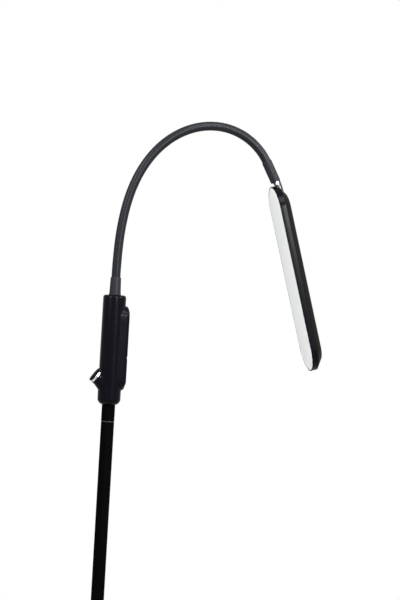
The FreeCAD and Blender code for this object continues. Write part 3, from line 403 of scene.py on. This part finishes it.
# ---------------------------------------------------------------- cable in the pole
# Two vinyl insulated cores twisted together, from the inlet up to the driver board.  They run
# freely inside the tubes and the joiners.
def cable_grid(low, high, reach, lay):
    """A two-lobed section that twists as it rises: at each height the radius is the reach times
    0.6 plus 0.4 times the fourth power of the cosine of the angle, less the twist at that height."""
    rings, sides = 700, 16
    height = np.linspace(low, high, rings)[:, None]
    angle = np.linspace(0, 2 * np.pi, sides, endpoint=False)[None]
    radius = reach * (0.6 + 0.4 * np.cos(angle - 2 * np.pi * height / lay) ** 4)
    ends = np.clip(np.minimum(height - low, high - height) * 1e6, 0, 1)
    return np.stack([ends * radius * np.cos(angle), ends * radius * np.sin(angle), height + 0 * angle], -1)


cable_vinyl = finish("cable_vinyl", (0.02, 0.02, 0.02), 0.5, 0.0008, 0.00001, Specular_IOR_Level=0.3)
cable = surface("pole_cable_cores", cable_vinyl,
                (cable_grid(low=39.4, high=1077, reach=1.75, lay=32), (False, True)))
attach(cable, "stand")
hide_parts("pole_cable")


# ---------------------------------------------------------------- stub below the handle
# A short tube a little wider than the pole, clamped in the handle's lower end.  It plugs onto
# the upper joiner.
stub_radius, stub_low, stub_high = 8.1, 1015, 1061
stub = turned("handle_stub_tube", pole_coat, [
    (pole_bore, stub_low, 0.1), (stub_radius, stub_low, 0.3), (stub_radius, stub_high, 0.3),
    (pole_bore, stub_high, 0.1)])
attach(stub, "stand")
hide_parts("handle_stub")


# ---------------------------------------------------------------- handle, front half
# The moulded half that faces the lamp head, in satin black plastic.  Its oblong bulge makes room
# for the driver board, and its two counterbores take the screws that hold the halves together.
handle_plastic = finish("handle_plastic", (0.0016, 0.0016, 0.0030), 0.25, 0.0004, 0.000004, 0.14,
                        Specular_IOR_Level=0.045)
handle_low, handle_length, handle_radius = 1035, 133, 14
nose_radius, nose_height, top_rounding = 8.7, 6, 3.2
nose_curve = [(9.8, 0.35), (11, 1.1), (12.2, 2.2), (13.2, 3.6), (13.75, 4.9)]
handle_place = Matrix.Translation((0, 0, handle_low))
parting_gap = 0.1
screw_places = [(-8, 58), (8, 105)]


def bulged_half():
    """The front half's closed skin.  Its rings run from a rectangle on the unrolled barrel to the
    bulge's obround outline, up a curved root, the flank and a quarter circle, and over the flat:
    the outline is a centre plus the half width times the unit vector at each angle."""
    samples = 24
    half_width, flat, rounding, bulge_low, bulge_high = 12.25, 18.5, 3.5, 18, 120
    low, high = bulge_low + half_width, bulge_high - half_width
    around = np.arange(4 * samples) / samples
    knots = [0, 0.3, 0.7, 1, 2, 2.3, 2.7, 3, 4]
    angle = np.radians(np.interp(around, knots, [-45, 0, 0, 45, 135, 180, 180, 225, 315]))
    centre = np.interp(around, knots, [low, low, high, high, high, high, low, low, low])
    reach = math.acos(parting_gap / handle_radius)
    barrel_top = handle_length - top_rounding
    corners = range(5)
    edge_turn = np.interp(around, corners, [reach, reach, -reach, -reach, reach])
    edge_height = np.interp(around, corners, [
        nose_height, barrel_top, barrel_top, nose_height, nose_height])
    upper, lower = np.maximum(np.sin(angle), 0), np.maximum(-np.sin(angle), 0)
    root = 0.8 + 1.6 * lower ** 2

    def on_barrel(offset):
        """The outline, widened by the offset, where it meets the barrel: the depth is the square
        root of the barrel's radius squared less the way across squared."""
        across, height = (half_width + offset) * np.cos(angle), (half_width + offset) * np.sin(angle)
        return np.stack([np.sqrt(handle_radius ** 2 - across ** 2), across, centre + height], -1)

    foot, corner = on_barrel(root), on_barrel(0)
    rise = corner + np.minimum(root, 1.2)[:, None] * (1, 0, 0)
    share = np.linspace(0, 1, 7)[:-1, None]
    turn = edge_turn + share * (np.arctan2(foot[:, 1], foot[:, 0]) - edge_turn)
    height = edge_height + share * (foot[:, 2] - edge_height)
    barrel = np.stack([handle_radius * np.cos(turn), handle_radius * np.sin(turn), height], -1)
    share = np.linspace(0, 1, 6)[:, None, None]
    fillet = (1 - share) ** 2 * foot + 2 * share * (1 - share) * corner + share ** 2 * rise
    lift = np.linspace(0, np.pi / 2, 11)[:, None]
    softness = rounding + 3 * upper ** 2 + 6.5 * lower ** 2
    radius = half_width - softness * (1 - np.cos(lift))
    radius = np.concatenate([radius, radius[-1:] * 0.5, radius[-1:] * 0])
    shoulder = np.maximum(rise[:, 0], flat - rounding - 2)
    depth = shoulder + (flat - shoulder) * np.sin(np.concatenate([lift, lift[-1:], lift[-1:]]))
    crown = np.stack([depth, radius * np.cos(angle), centre + radius * np.sin(angle)], -1)
    skin = np.concatenate([barrel, fillet, crown])

    across = np.linspace(-reach, reach, samples + 1)[None]
    bend = np.linspace(0, np.pi / 2, 7)
    nose = np.array([(handle_radius, nose_height), *nose_curve[::-1], (nose_radius, 0), (0, 0)])
    top = np.stack([handle_radius - top_rounding * (1 - np.cos(bend)),
                    barrel_top + top_rounding * np.sin(bend)], -1)
    top = np.concatenate([top, [(0, handle_length)]])

    def band(profile, turn):
        """A profile carried round the axis: (radius times cosine, radius times sine, height)."""
        radius, height = profile[:, :1], profile[:, 1:]
        return np.stack([radius * np.cos(turn), radius * np.sin(turn), height + 0 * turn], -1)

    side = np.stack([np.full(samples + 1, handle_radius), edge_height[:samples + 1]], -1)
    flat_side = band(np.concatenate([nose[::-1], side, top]), np.array([[-reach, reach]]))
    return [(skin, (False, True)), (band(nose, across), (False, False)),
            (band(top, across), (False, False)), (flat_side, (False, False))]


def obround(name, material, half_width, low, high, corners, place, steps=33):
    """A slab with round ends, from rings at rounded (inset, depth, rounding) corners: a ring's
    points are an end's centre plus the half width less the inset times the unit vector at each
    angle.  The depth lies along X, the width along Y and the length along Z."""
    outline = rounded(corners)
    angle = np.concatenate([np.linspace(0, np.pi, steps), np.linspace(np.pi, 2 * np.pi, steps)])
    centre = np.repeat([high - half_width, low + half_width], steps)
    radius, depth = half_width - outline[:, :1], outline[:, 1:]
    grid = np.stack([depth + 0 * angle, radius * np.cos(angle), centre + radius * np.sin(angle)], -1)
    return surface(name, material, (grid, (False, True)), place=place)


def slab(half_width, low_depth, high_depth, rounding=0):
    """The corners of a plain slab's rings, from the middle of one face to that of the other."""
    return [(half_width, low_depth, 0), (0, low_depth, rounding),
            (0, high_depth, rounding), (half_width, high_depth, 0)]


def screw_tool(across, height):
    """The counterbore and the hole for one of the handle's screws."""
    return turned("tool", handle_plastic, [
        (0, -6.9, 0), (1.3, -6.9, 0), (1.3, 16.1, 0), (2.7, 16.1, 0), (2.7, 20, 0), (0, 20, 0)], 40,
        facing((1, 0, 0), (0, across, handle_low + height)))


def around_posts(hollow):
    """A hollow of the handle without the two round posts that the screws run in."""
    return carve(hollow, [turned("post", handle_plastic, [
        (0, -10.1, 0), (3, -10.1, 0), (3, 17.5, 0), (0, 17.5, 0)], 40,
        facing((1, 0, 0), (0, across, handle_low + height))) for across, height in screw_places])


def handle_bores():
    """The hollows round the handle's axis: for the stub, the cable, the driver and the ferrule."""
    return around_posts(turned("bores", handle_plastic, [
        (0, -1, 0), (8.15, -1, 0), (8.15, 26, 0), (4.5, 26, 0), (4.5, 28, 0), (12, 28, 0), (12, 118, 0),
        (6.05, 118, 0), (6.05, 134, 0), (0, 134, 0)], 96, handle_place))


handle_front = surface("handle_front_moulding", handle_plastic, *bulged_half(), place=handle_place)
room_half = 10.25
driver_room = around_posts(obround("room", handle_plastic, room_half, 28.2, 117.8,
                                   slab(room_half, -1, 16.5), handle_place))
carve(handle_front, [handle_bores(), driver_room, *(screw_tool(*place) for place in screw_places)])
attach(handle_front, "stand")
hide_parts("handle_front")


# ---------------------------------------------------------------- handle, back half
# The other moulded half carries a slanting round boss for the button.  The boss's face is sunk
# into the barrel at its top and stands out of it at its bottom.
boss_radius, button_lean = 9.4, math.radians(37)
button_axis = (-math.cos(button_lean), 0, math.sin(button_lean))
button_place = facing(button_axis, (-19.8, 0, handle_low + 36.2))


def block(low, high, place=Matrix.Identity(4)):
    """A box between two corners, as a tool: two square rings and their middles."""
    low, high = np.array(low, float), np.array(high, float)
    share = np.array([[(0, 0), (1, 0), (1, 1), (0, 1)]] * 4, float)
    share[[0, 3]] = 0.5
    level = np.repeat([[0], [0], [1], [1]], 4, 1)[..., None]
    grid = low + (high - low) * np.concatenate([share, level], -1)
    return surface("block", handle_plastic, (grid, (False, True)), place=place)


handle_back = turned("handle_back_moulding", handle_plastic, [
    (0, 0, 0), (nose_radius, 0, 0), *((radius, height, 0) for radius, height in nose_curve),
    (handle_radius, nose_height, 0), (handle_radius, handle_length, top_rounding),
    (0, handle_length, 0)], 96, handle_place)
carve(handle_back, [
    block((-parting_gap, -20, handle_low - 5), (30, 20, handle_low + handle_length + 5)),
    turned("spot", handle_plastic, [
        (0, -4.9, 0), (9.7, -4.9, 0), (9.7, 15, 0), (0, 15, 0)], 96, button_place),
    turned("bore", handle_plastic, [
        (0, -12.4, 0), (8.1, -12.4, 0), (8.1, 5, 0), (0, 5, 0)], 96, button_place),
    handle_bores(), *(screw_tool(*place) for place in screw_places)], joined=[
    turned("boss", handle_plastic, [
        (0, -24, 0), (13.6, -24, 0), (boss_radius, -8, 2), (boss_radius, -4.93, 0.35),
        (0, -4.93, 0)], 96, button_place)])
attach(handle_back, "stand")
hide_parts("handle_back")


# ---------------------------------------------------------------- handle screws
# Two zinc plated pan-head screws with a cross recess, driven through the front half into posts
# of the back half.
def recess(place, reach, low, high, width):
    """The two crossed blades of a cross recess, along the piece's own axis."""
    return [block((-reach, -width, low), (reach, width, high), place),
            block((-width, -reach, low), (width, reach, high), place)]


for index, (across, height) in enumerate(screw_places, start=1):
    screw_place = facing((1, 0, 0), (17.9, across, handle_low + height))
    screw = turned(f"handle_screw_{index}", zinc, [
        (0, -22, 0), (0.5, -22, 0), (1.25, -20.5, 0.2), (1.25, -1.8, 0.2), (2.4, -1.8, 0.2), (2.4, 0, 0.9),
        (0, 0, 0)], 40, screw_place)
    carve(screw, recess(screw_place, reach=1.35, low=-1.0, high=1, width=0.3))
    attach(screw, "stand")
    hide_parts("handle_screws")


# ---------------------------------------------------------------- driver board, its parts and the switch
# A green glass-fibre board with an inductor, capacitors and terminals, and a push switch behind
# the button.  They keep the shapes of the frame and are closed in by the handle.
board_green = finish("board_green", (0.012, 0.085, 0.03), 0.35, 0.0012, 0.00001, 0.25,
                     Specular_IOR_Level=0.4)
moulded_parts = finish("moulded_parts", (0.03, 0.03, 0.032), 0.5, 0.0005, 0.00001, 0.2,
                       Specular_IOR_Level=0.3)
dress(board_green, "driver_board")
dress(moulded_parts, "driver_parts", "tact_switch")


# ---------------------------------------------------------------- button
# A chrome plated ring on the boss's face, a shallow dished black cap over it, and a wound steel
# spring that lifts the cap off its switch.
chrome = finish("chrome_plate", (0.45, 0.45, 0.465), 0.22, 0.0008, 0.000002, 0.05, Metallic=1.0)
cap_black = finish("cap_black", (0.0026, 0.0026, 0.0034), 0.55, 0.0004, 0.000006, 0.12,
                   Specular_IOR_Level=0.01)
bezel = turned("button_chrome_ring", chrome, [
    (8.1, -4.9, 0.1), (boss_radius, -4.9, 0.25), (boss_radius, -2.2, 0.5), (8.1, -2.2, 0.5)], 128,
    button_place)
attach(bezel, "stand")
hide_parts("button_bezel")

cap = turned("button_cap_dished", cap_black, [
    (0, -7.4, 0), (1.5, -7.4, 0.3), (1.5, -1.4, 0), (6.6, -1.4, 0), (6.6, -5.8, 0.2), (7.8, -5.8, 0.2),
    (7.8, -1.4, 0), (9.2, -1.4, 0.3), (9.2, 0, 0.5), (8.2, 0, 0.5), (7.2, -0.35, 1.5), (0, -0.35, 0)], 128,
    button_place)
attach(cap, "button")
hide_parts("button_cap")


def helix_wire(radius, wire, low, high, turns, rings=220, sides=10):
    """A round wire along a helix: its centre turns about the axis as it rises evenly, and its
    section lies across the helix's own direction, closed at both ends."""
    turn = np.linspace(0, 2 * np.pi * turns, rings)[:, None]
    rise = (high - low) / (2 * np.pi * turns)
    outward = np.stack([np.cos(turn), np.sin(turn), 0 * turn], -1)
    slope = math.hypot(radius, rise)
    upward = np.stack([rise * np.sin(turn), -rise * np.cos(turn), radius + 0 * turn], -1) / slope
    angle = np.linspace(0, 2 * np.pi, sides, endpoint=False)[None, :, None]
    thick = np.full((rings, 1, 1), wire / 2)
    thick[[0, -1]] = 0
    centre = outward * radius + np.stack([0 * turn, 0 * turn, low + rise * turn], -1)
    return centre + thick * (np.cos(angle) * outward + np.sin(angle) * upward)


spring_steel = finish("spring_steel", (0.4, 0.4, 0.41), 0.3, 0.0005, 0.000005, 0.15, Metallic=1.0)
spring = surface("button_spring_wire", spring_steel, (
    helix_wire(radius=2.9, wire=0.5, low=-8.4, high=-2.0, turns=3.5), (False, True)), place=button_place)
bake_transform(spring)
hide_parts("button_spring")


# ---------------------------------------------------------------- lower neck ferrule
# A turned brass ferrule, blackened, that is clamped in the handle's top by a nut and holds the
# neck.  Its small flange rests on the handle.
ferrule_black = finish("ferrule_black", (0.0125, 0.0135, 0.016), 0.36, 0.0006, 0.000005, 0.08,
                       Specular_IOR_Level=0.06)
handle_top, ferrule_height = handle_low + handle_length, 21.5
neck_ferrule = turned("neck_ferrule_turned", ferrule_black, [
    (4.05, -19.5, 0.1), (6, -19.5, 0.3), (6, 0, 0), (7.5, 0, 0.2), (7.5, 1, 0.25), (7, 1.6, 0.2),
    (6.4, 20.6, 0.3), (6, ferrule_height, 0.15), (5.55, ferrule_height, 0.1), (5.55, 6, 0),
    (4.05, 6, 0)], 96, Matrix.Translation((0, 0, handle_top)))
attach(neck_ferrule, "stand")
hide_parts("neck_ferrule")


# ---------------------------------------------------------------- neck core
# The wound steel core stands as eighteen rigid lengths that roll on each other.  They keep the
# shapes of the frame and are closed in by the sleeve.
core_steel = finish("core_steel", (0.3, 0.3, 0.31), 0.4, 0.0006, 0.00001, 0.2, Metallic=1.0)
dress(core_steel, "neck_core_root", "neck_core_end", *(f"neck_core_{index:02d}" for index in range(1, 17)))


# ---------------------------------------------------------------- neck sleeve and lead
# One dark grey rubber sleeve over the core, from ferrule to ferrule, and the lead to the lamp
# head in the core's bore.  Each is divided halfway between the joints, where its two parts meet.
neck_pitch, neck_turn, neck_ramp, root_turn = 20.6, 150.5, 0.784, 1.15
neck_knots = neck_pitch * np.array([0, 2, *range(4, 17)], float)
neck_length = neck_knots[-1]
neck_start = np.array([0, 0, handle_top + ferrule_height])


def bend_up_to(share):
    """The neck's turn up to a share of its length: its bend grows evenly, then holds."""
    hold_rate = neck_turn / (1 - neck_ramp / 2)
    growing, held = hold_rate * share ** 2 / (2 * neck_ramp), hold_rate * (share - neck_ramp / 2)
    return np.where(share < neck_ramp, growing, held)


def chord(angle, turn, length):
    """The step along an arc: its length times the sine of half its turn over that half, towards
    its middle heading.  Headings are angles from straight up, towards +X."""
    middle = angle + turn / 2
    scale = length * np.sinc(turn / 2 / np.pi)
    return scale[:, None] * np.stack([np.sin(middle), 0 * middle, np.cos(middle)], -1)


knot_angles = np.radians(bend_up_to(neck_knots / neck_length) + root_turn * (neck_knots > 0))
knot_points = neck_start + np.concatenate([
    np.zeros((1, 3)), np.cumsum(chord(knot_angles[:-1], np.diff(knot_angles), np.diff(neck_knots)), 0)])


def neck_line(along):
    """Points and headings at distances along the neck, which runs straight on past both ends."""
    inside = np.clip(along, 0, neck_length)
    knot = np.clip(np.searchsorted(neck_knots, inside, side="right") - 1, 0, len(neck_knots) - 2)
    past = inside - neck_knots[knot]
    turn = past * (np.diff(knot_angles) / np.diff(neck_knots))[knot]
    angle = knot_angles[knot] + turn
    points = knot_points[knot] + chord(knot_angles[knot], turn, past)
    return points + chord(angle, 0 * angle, along - inside), angle


def neck_tube(along, radius, sides):
    """A tube along the neck: a point of its line plus the radius times the cosine of the angle
    across the bend and the sine of it outwards."""
    points, heading = neck_line(along)
    outward = np.stack([np.cos(heading), 0 * heading, -np.sin(heading)], -1)[:, None]
    angle = np.linspace(0, 2 * np.pi, sides, endpoint=False)[None, :, None]
    section = np.cos(angle) * np.array([0, 1, 0]) + np.sin(angle) * outward
    return points[:, None] + radius[:, None, None] * section


sleeve_rubber = finish("sleeve_rubber", (0.0085, 0.0093, 0.0112), 0.32, 0.002, 0.0000004, 0.03,
                       Specular_IOR_Level=0.08)
lead_vinyl = finish("lead_vinyl", (0.02, 0.02, 0.021), 0.45, 0.0006, 0.00001, 0.1, Specular_IOR_Level=0.35)
sleeve_radius, sleeve_bore, lead_radius = 5.5, 4.65, 0.9
sleeve_rings, lead_rings = 28, 24
sleeve_wall = np.repeat([sleeve_radius, sleeve_bore], sleeve_rings)
lead_width = np.pad(np.full(lead_rings, lead_radius), 1)
neck_bodies = ["stand", *(f"neck_{index:02d}" for index in range(1, 17)), "neck_end"]
# The sleeve ends inside both ferrules, and the lead goes on into the handle and the fork.
meetings = neck_pitch * np.array([0.5, 1.5, 2.5, 3.5, 4.25, *range(5, 16)])
sleeve_ends = np.concatenate([[-15.5], meetings, [neck_length + 12]])
lead_ends = np.concatenate([[-50.5], meetings, [neck_length + 16]])
bend_ends = np.concatenate([[-3], meetings, [neck_length - 2]])
turned_round = 15  # the piece whose two ends are listed far end first
for number, (before, after) in enumerate(zip(neck_bodies, neck_bodies[1:]), start=1):
    along = np.linspace(sleeve_ends[number - 1], sleeve_ends[number], sleeve_rings)
    tube = neck_tube(np.concatenate([along, along[::-1]]), sleeve_wall, 48)
    sleeve = surface(f"neck_sleeve_{number:02d}", sleeve_rubber, (tube, (True, True)))
    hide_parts("neck_sleeve")
    along = np.linspace(lead_ends[number - 1], lead_ends[number], lead_rings)
    tube = neck_tube(np.concatenate([along[:1], along, along[-1:]]), lead_width, 12)
    lead = surface(f"neck_lead_{number:02d}", lead_vinyl, (tube, (False, True)))
    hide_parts("neck_lead")
    (bend_start, bend_end), _ = neck_line(bend_ends[number - 1:number + 1])
    ends = [(before, tuple(bend_start / 1000)), (after, tuple(bend_end / 1000))]
    if number == turned_round:
        ends.reverse()
    for piece in (sleeve, lead):
        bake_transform(piece)


# ---------------------------------------------------------------- upper ferrule and fork
# A turned and milled ferrule, blackened like the lower one, with two cheeks that take the hinge
# pin.  A small hole beside the cheeks lets the lead out.
def frame_at(point, angle):
    """The matrix that turns a piece by an angle about +Y and puts it at a point."""
    return Matrix.Translation(point) @ Matrix.Rotation(angle, 4, "Y")


(neck_end,), (end_angle,) = neck_line(np.array([neck_length]))
end_place = frame_at(neck_end, end_angle)
pivot_height = 27.6
pivot = end_place @ Vector((0, 0, pivot_height))
across_hinge = Matrix.Rotation(math.pi / 2, 4, "Z")
tongue_half = 2.8
fork_ferrule = turned("fork_ferrule_turned", ferrule_black, [
    (5.65, -2, 0), (5.9, -2, 0), (6.2, -1.2, 0.2), (6.2, 25.2, 0.3), (5.4, 26, 0.2), (0, 26, 0),
    (0, 18, 0), (4.05, 18, 0), (4.05, 13, 0), (5.65, 13, 0)], 96, end_place)
cheeks = obround("cheeks", ferrule_black, tongue_half, 21, 30.4, slab(tongue_half, -5, 5, 0.3),
                 end_place @ across_hinge)
hinge_place = facing((0, -1, 0), pivot)
carve(fork_ferrule, [
    block((-10, -2.5, 24.5), (10, 2.5, 40), end_place),
    turned("eye", ferrule_black, [
        (0, -9, 0), (1.55, -9, 0), (1.55, 5, 0), (2.7, 5, 0), (2.7, 9, 0), (0, 9, 0)], 48, hinge_place),
    turned("exit", ferrule_black, [(0, 15, 0), (1.25, 15, 0), (1.25, 30, 0), (0, 30, 0)], 32,
           end_place @ Matrix.Translation((-4.6, 0, 0)))], joined=[cheeks])
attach(fork_ferrule, "neck_end")
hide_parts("fork_ferrule")


# ---------------------------------------------------------------- hinge pin and washers
# A nickel plated shouldered pin with a slotted round head on the -Y side, and two thin washers
# that give the hinge its friction.
hinge_pin = turned("hinge_pin_turned", nickel, [
    (0, -5.4, 0), (1.5, -5.4, 0.3), (1.5, 5, 0), (2.4, 5, 0.1), (2.4, 6.1, 0.5), (0, 6.1, 0)], 64,
    hinge_place)
carve(hinge_pin, [block((-1.7, -0.3, 5.6), (1.7, 0.3, 7), hinge_place)])
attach(hinge_pin, "neck_end")
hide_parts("hinge_pin")
dress(nickel, "hinge_washers")


# ---------------------------------------------------------------- head knuckle and its screw
# A blackened steel tongue on the hinge pin, let into the housing's end and held there by a small
# screw from the front.
head_nod = math.radians(12.55)
head_place = frame_at(pivot, end_angle + head_nod)
knuckle_steel = finish("knuckle_plate", (0.03, 0.03, 0.031), 0.35, 0.0005, 0.000004, 0.1, Metallic=1.0)
knuckle = obround("head_knuckle_tongue", knuckle_steel, tongue_half, -tongue_half, 22,
                  slab(tongue_half, -2.2, 2.2, 0.3), head_place @ across_hinge)
carve(knuckle, [
    turned("eye", knuckle_steel, [(0, -5, 0), (1.55, -5, 0), (1.55, 5, 0), (0, 5, 0)], 48, hinge_place),
    turned("thread", knuckle_steel, [(0, -5, 0), (1.05, -5, 0), (1.05, 5, 0), (0, 5, 0)], 32,
           head_place @ Matrix.Translation((0, 0, 13)) @ Matrix.Rotation(math.pi / 2, 4, "Y"))])
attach(knuckle, "head")
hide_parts("head_knuckle")
dress(zinc, "knuckle_screw", "board_screws")


# ---------------------------------------------------------------- head lead
# The short flexible end of the lead, which bridges the hinge behind the fork.  It leaves the
# ferrule straight, bends once and enters the housing's bevel.
def bent_tube(start, start_way, end, end_way, radius, rings=60, sides=16):
    """A closed tube on a cubic Bezier curve in the XZ plane: its ends' directions are given, and
    a section lies across the curve's own direction."""
    controls = [Vector(point) for point in (start, start + start_way, end - end_way, end)]
    share = np.linspace(0, 1, rings)[:, None]
    weights = [(1 - share) ** 3, 3 * share * (1 - share) ** 2, 3 * share ** 2 * (1 - share), share ** 3]
    line = sum(weight * np.array(point) for weight, point in zip(weights, controls))
    way = np.gradient(line, axis=0)
    way /= np.linalg.norm(way, axis=1, keepdims=True)
    side = np.array([0, 1, 0.0])
    out = np.cross(side, way)[:, None]
    angle = np.linspace(0, 2 * np.pi, sides, endpoint=False)[None, :, None]
    thick = np.full((rings, 1, 1), radius)
    tube = line[:, None] + thick * (np.cos(angle) * side + np.sin(angle) * out)
    ends = line[[0, -1], None] + 0 * tube[:1]
    return np.concatenate([ends[:1], tube, ends[1:]])


lead_from = end_place @ Vector((-4.6, 0, 18))
lead_to = head_place @ Vector((-5.8, 0, 15))
bridge = bent_tube(lead_from, end_place.to_3x3() @ Vector((0, 0, 10.5)),
                   lead_to, head_place.to_3x3() @ Vector((0, 0, 13)), radius=1.2)
head_lead = surface("head_lead_bridge", lead_vinyl, (bridge, (False, True)))
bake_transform(head_lead)
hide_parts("head_lead")


# ---------------------------------------------------------------- lamp head housing
# A long shallow tray with round ends, die cast in aluminium and powder coated in satin black,
# with glossier upright sides.  Its back is bevelled all round, and the diffuser lies in a rebate
# of its front.
housing_coat = finish("housing_coat", (0.0045, 0.0041, 0.0034), 0.4, 0.0009, 0.000008, 0.12,
                      Specular_IOR_Level=0.012)
housing_side = finish("housing_side", (0.0045, 0.005, 0.0058), 0.25, 0.0009, 0.000006, 0.1,
                      Specular_IOR_Level=0.14)
head_half, head_low, head_high = 28.8, 3, 236
housing = obround("head_housing_tray", housing_coat, head_half, head_low, head_high, [
    (head_half, -7.9, 0), (11.5, -7.9, 1.2), (0, 0.3, 0.6), (0, 8, 0.35), (1.2, 8, 0.2), (1.2, 6, 0),
    (2.8, 6, 0.1), (2.8, 0.3, 0), (14.1, 0.3, 0.2), (14.1, -6.3, 0), (head_half, -6.3, 0)], head_place, 65)
carve(housing, [
    block((-2.8, -2.2, 0), (2.8, 2.2, 22), head_place),
    turned("entry", housing_coat, [(0, -1, 0), (1.25, -1, 0), (1.25, 18, 0), (0, 18, 0)], 32,
           head_place @ Matrix.Translation((-5.8, 0, 0)))])
housing.data.materials.append(housing_side)
facets = len(housing.data.polygons)
centres, normals = np.empty(facets * 3), np.empty(facets * 3)
housing.data.polygons.foreach_get("center", centres)
housing.data.polygons.foreach_get("normal", normals)
side_low, side_high, side_tilt = 0.2, 7.9, 0.3
depth_axis = np.array(head_place.to_3x3() @ Vector((1, 0, 0)))
depths = (centres.reshape(-1, 3) * 1000 - np.array(pivot)) @ depth_axis
upright = np.abs(normals.reshape(-1, 3) @ depth_axis) < side_tilt
on_side = upright & (depths > side_low) & (depths < side_high)
housing.data.polygons.foreach_set("material_index", on_side.astype(np.int32))
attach(housing, "head")
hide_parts("head_housing")


# ---------------------------------------------------------------- board of light-emitting diodes
# An aluminium board with white solder mask, two rows of diodes with yellow phosphor, and the
# screws that hold it.  They keep the shapes of the frame, behind the diffuser.
white_mask = finish("white_mask", (0.75, 0.75, 0.72), 0.45, 0.001, 0.00001, 0.06, Specular_IOR_Level=0.4)
phosphor = finish("diode_phosphor", (0.8, 0.62, 0.12), 0.4, 0.0004, 0.00001, 0.1, Specular_IOR_Level=0.5)
dress(white_mask, "led_board")
dress(phosphor, "leds")


# ---------------------------------------------------------------- diffuser
# A flush panel of opal acrylic with softened edges, pressed into the rebate of the housing's
# front.  It spreads the light of the diodes.
opal = finish("opal_acrylic", (0.86, 0.88, 0.875), 0.5, 0.002, 0.00001, 0.012, Specular_IOR_Level=0.2)
panel_half = 27.5
diffuser = obround("diffuser_panel", opal, panel_half, 4.3, 234.7, slab(panel_half, 6, 8, 0.3),
                   head_place, 65)
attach(diffuser, "head")
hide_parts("diffuser")
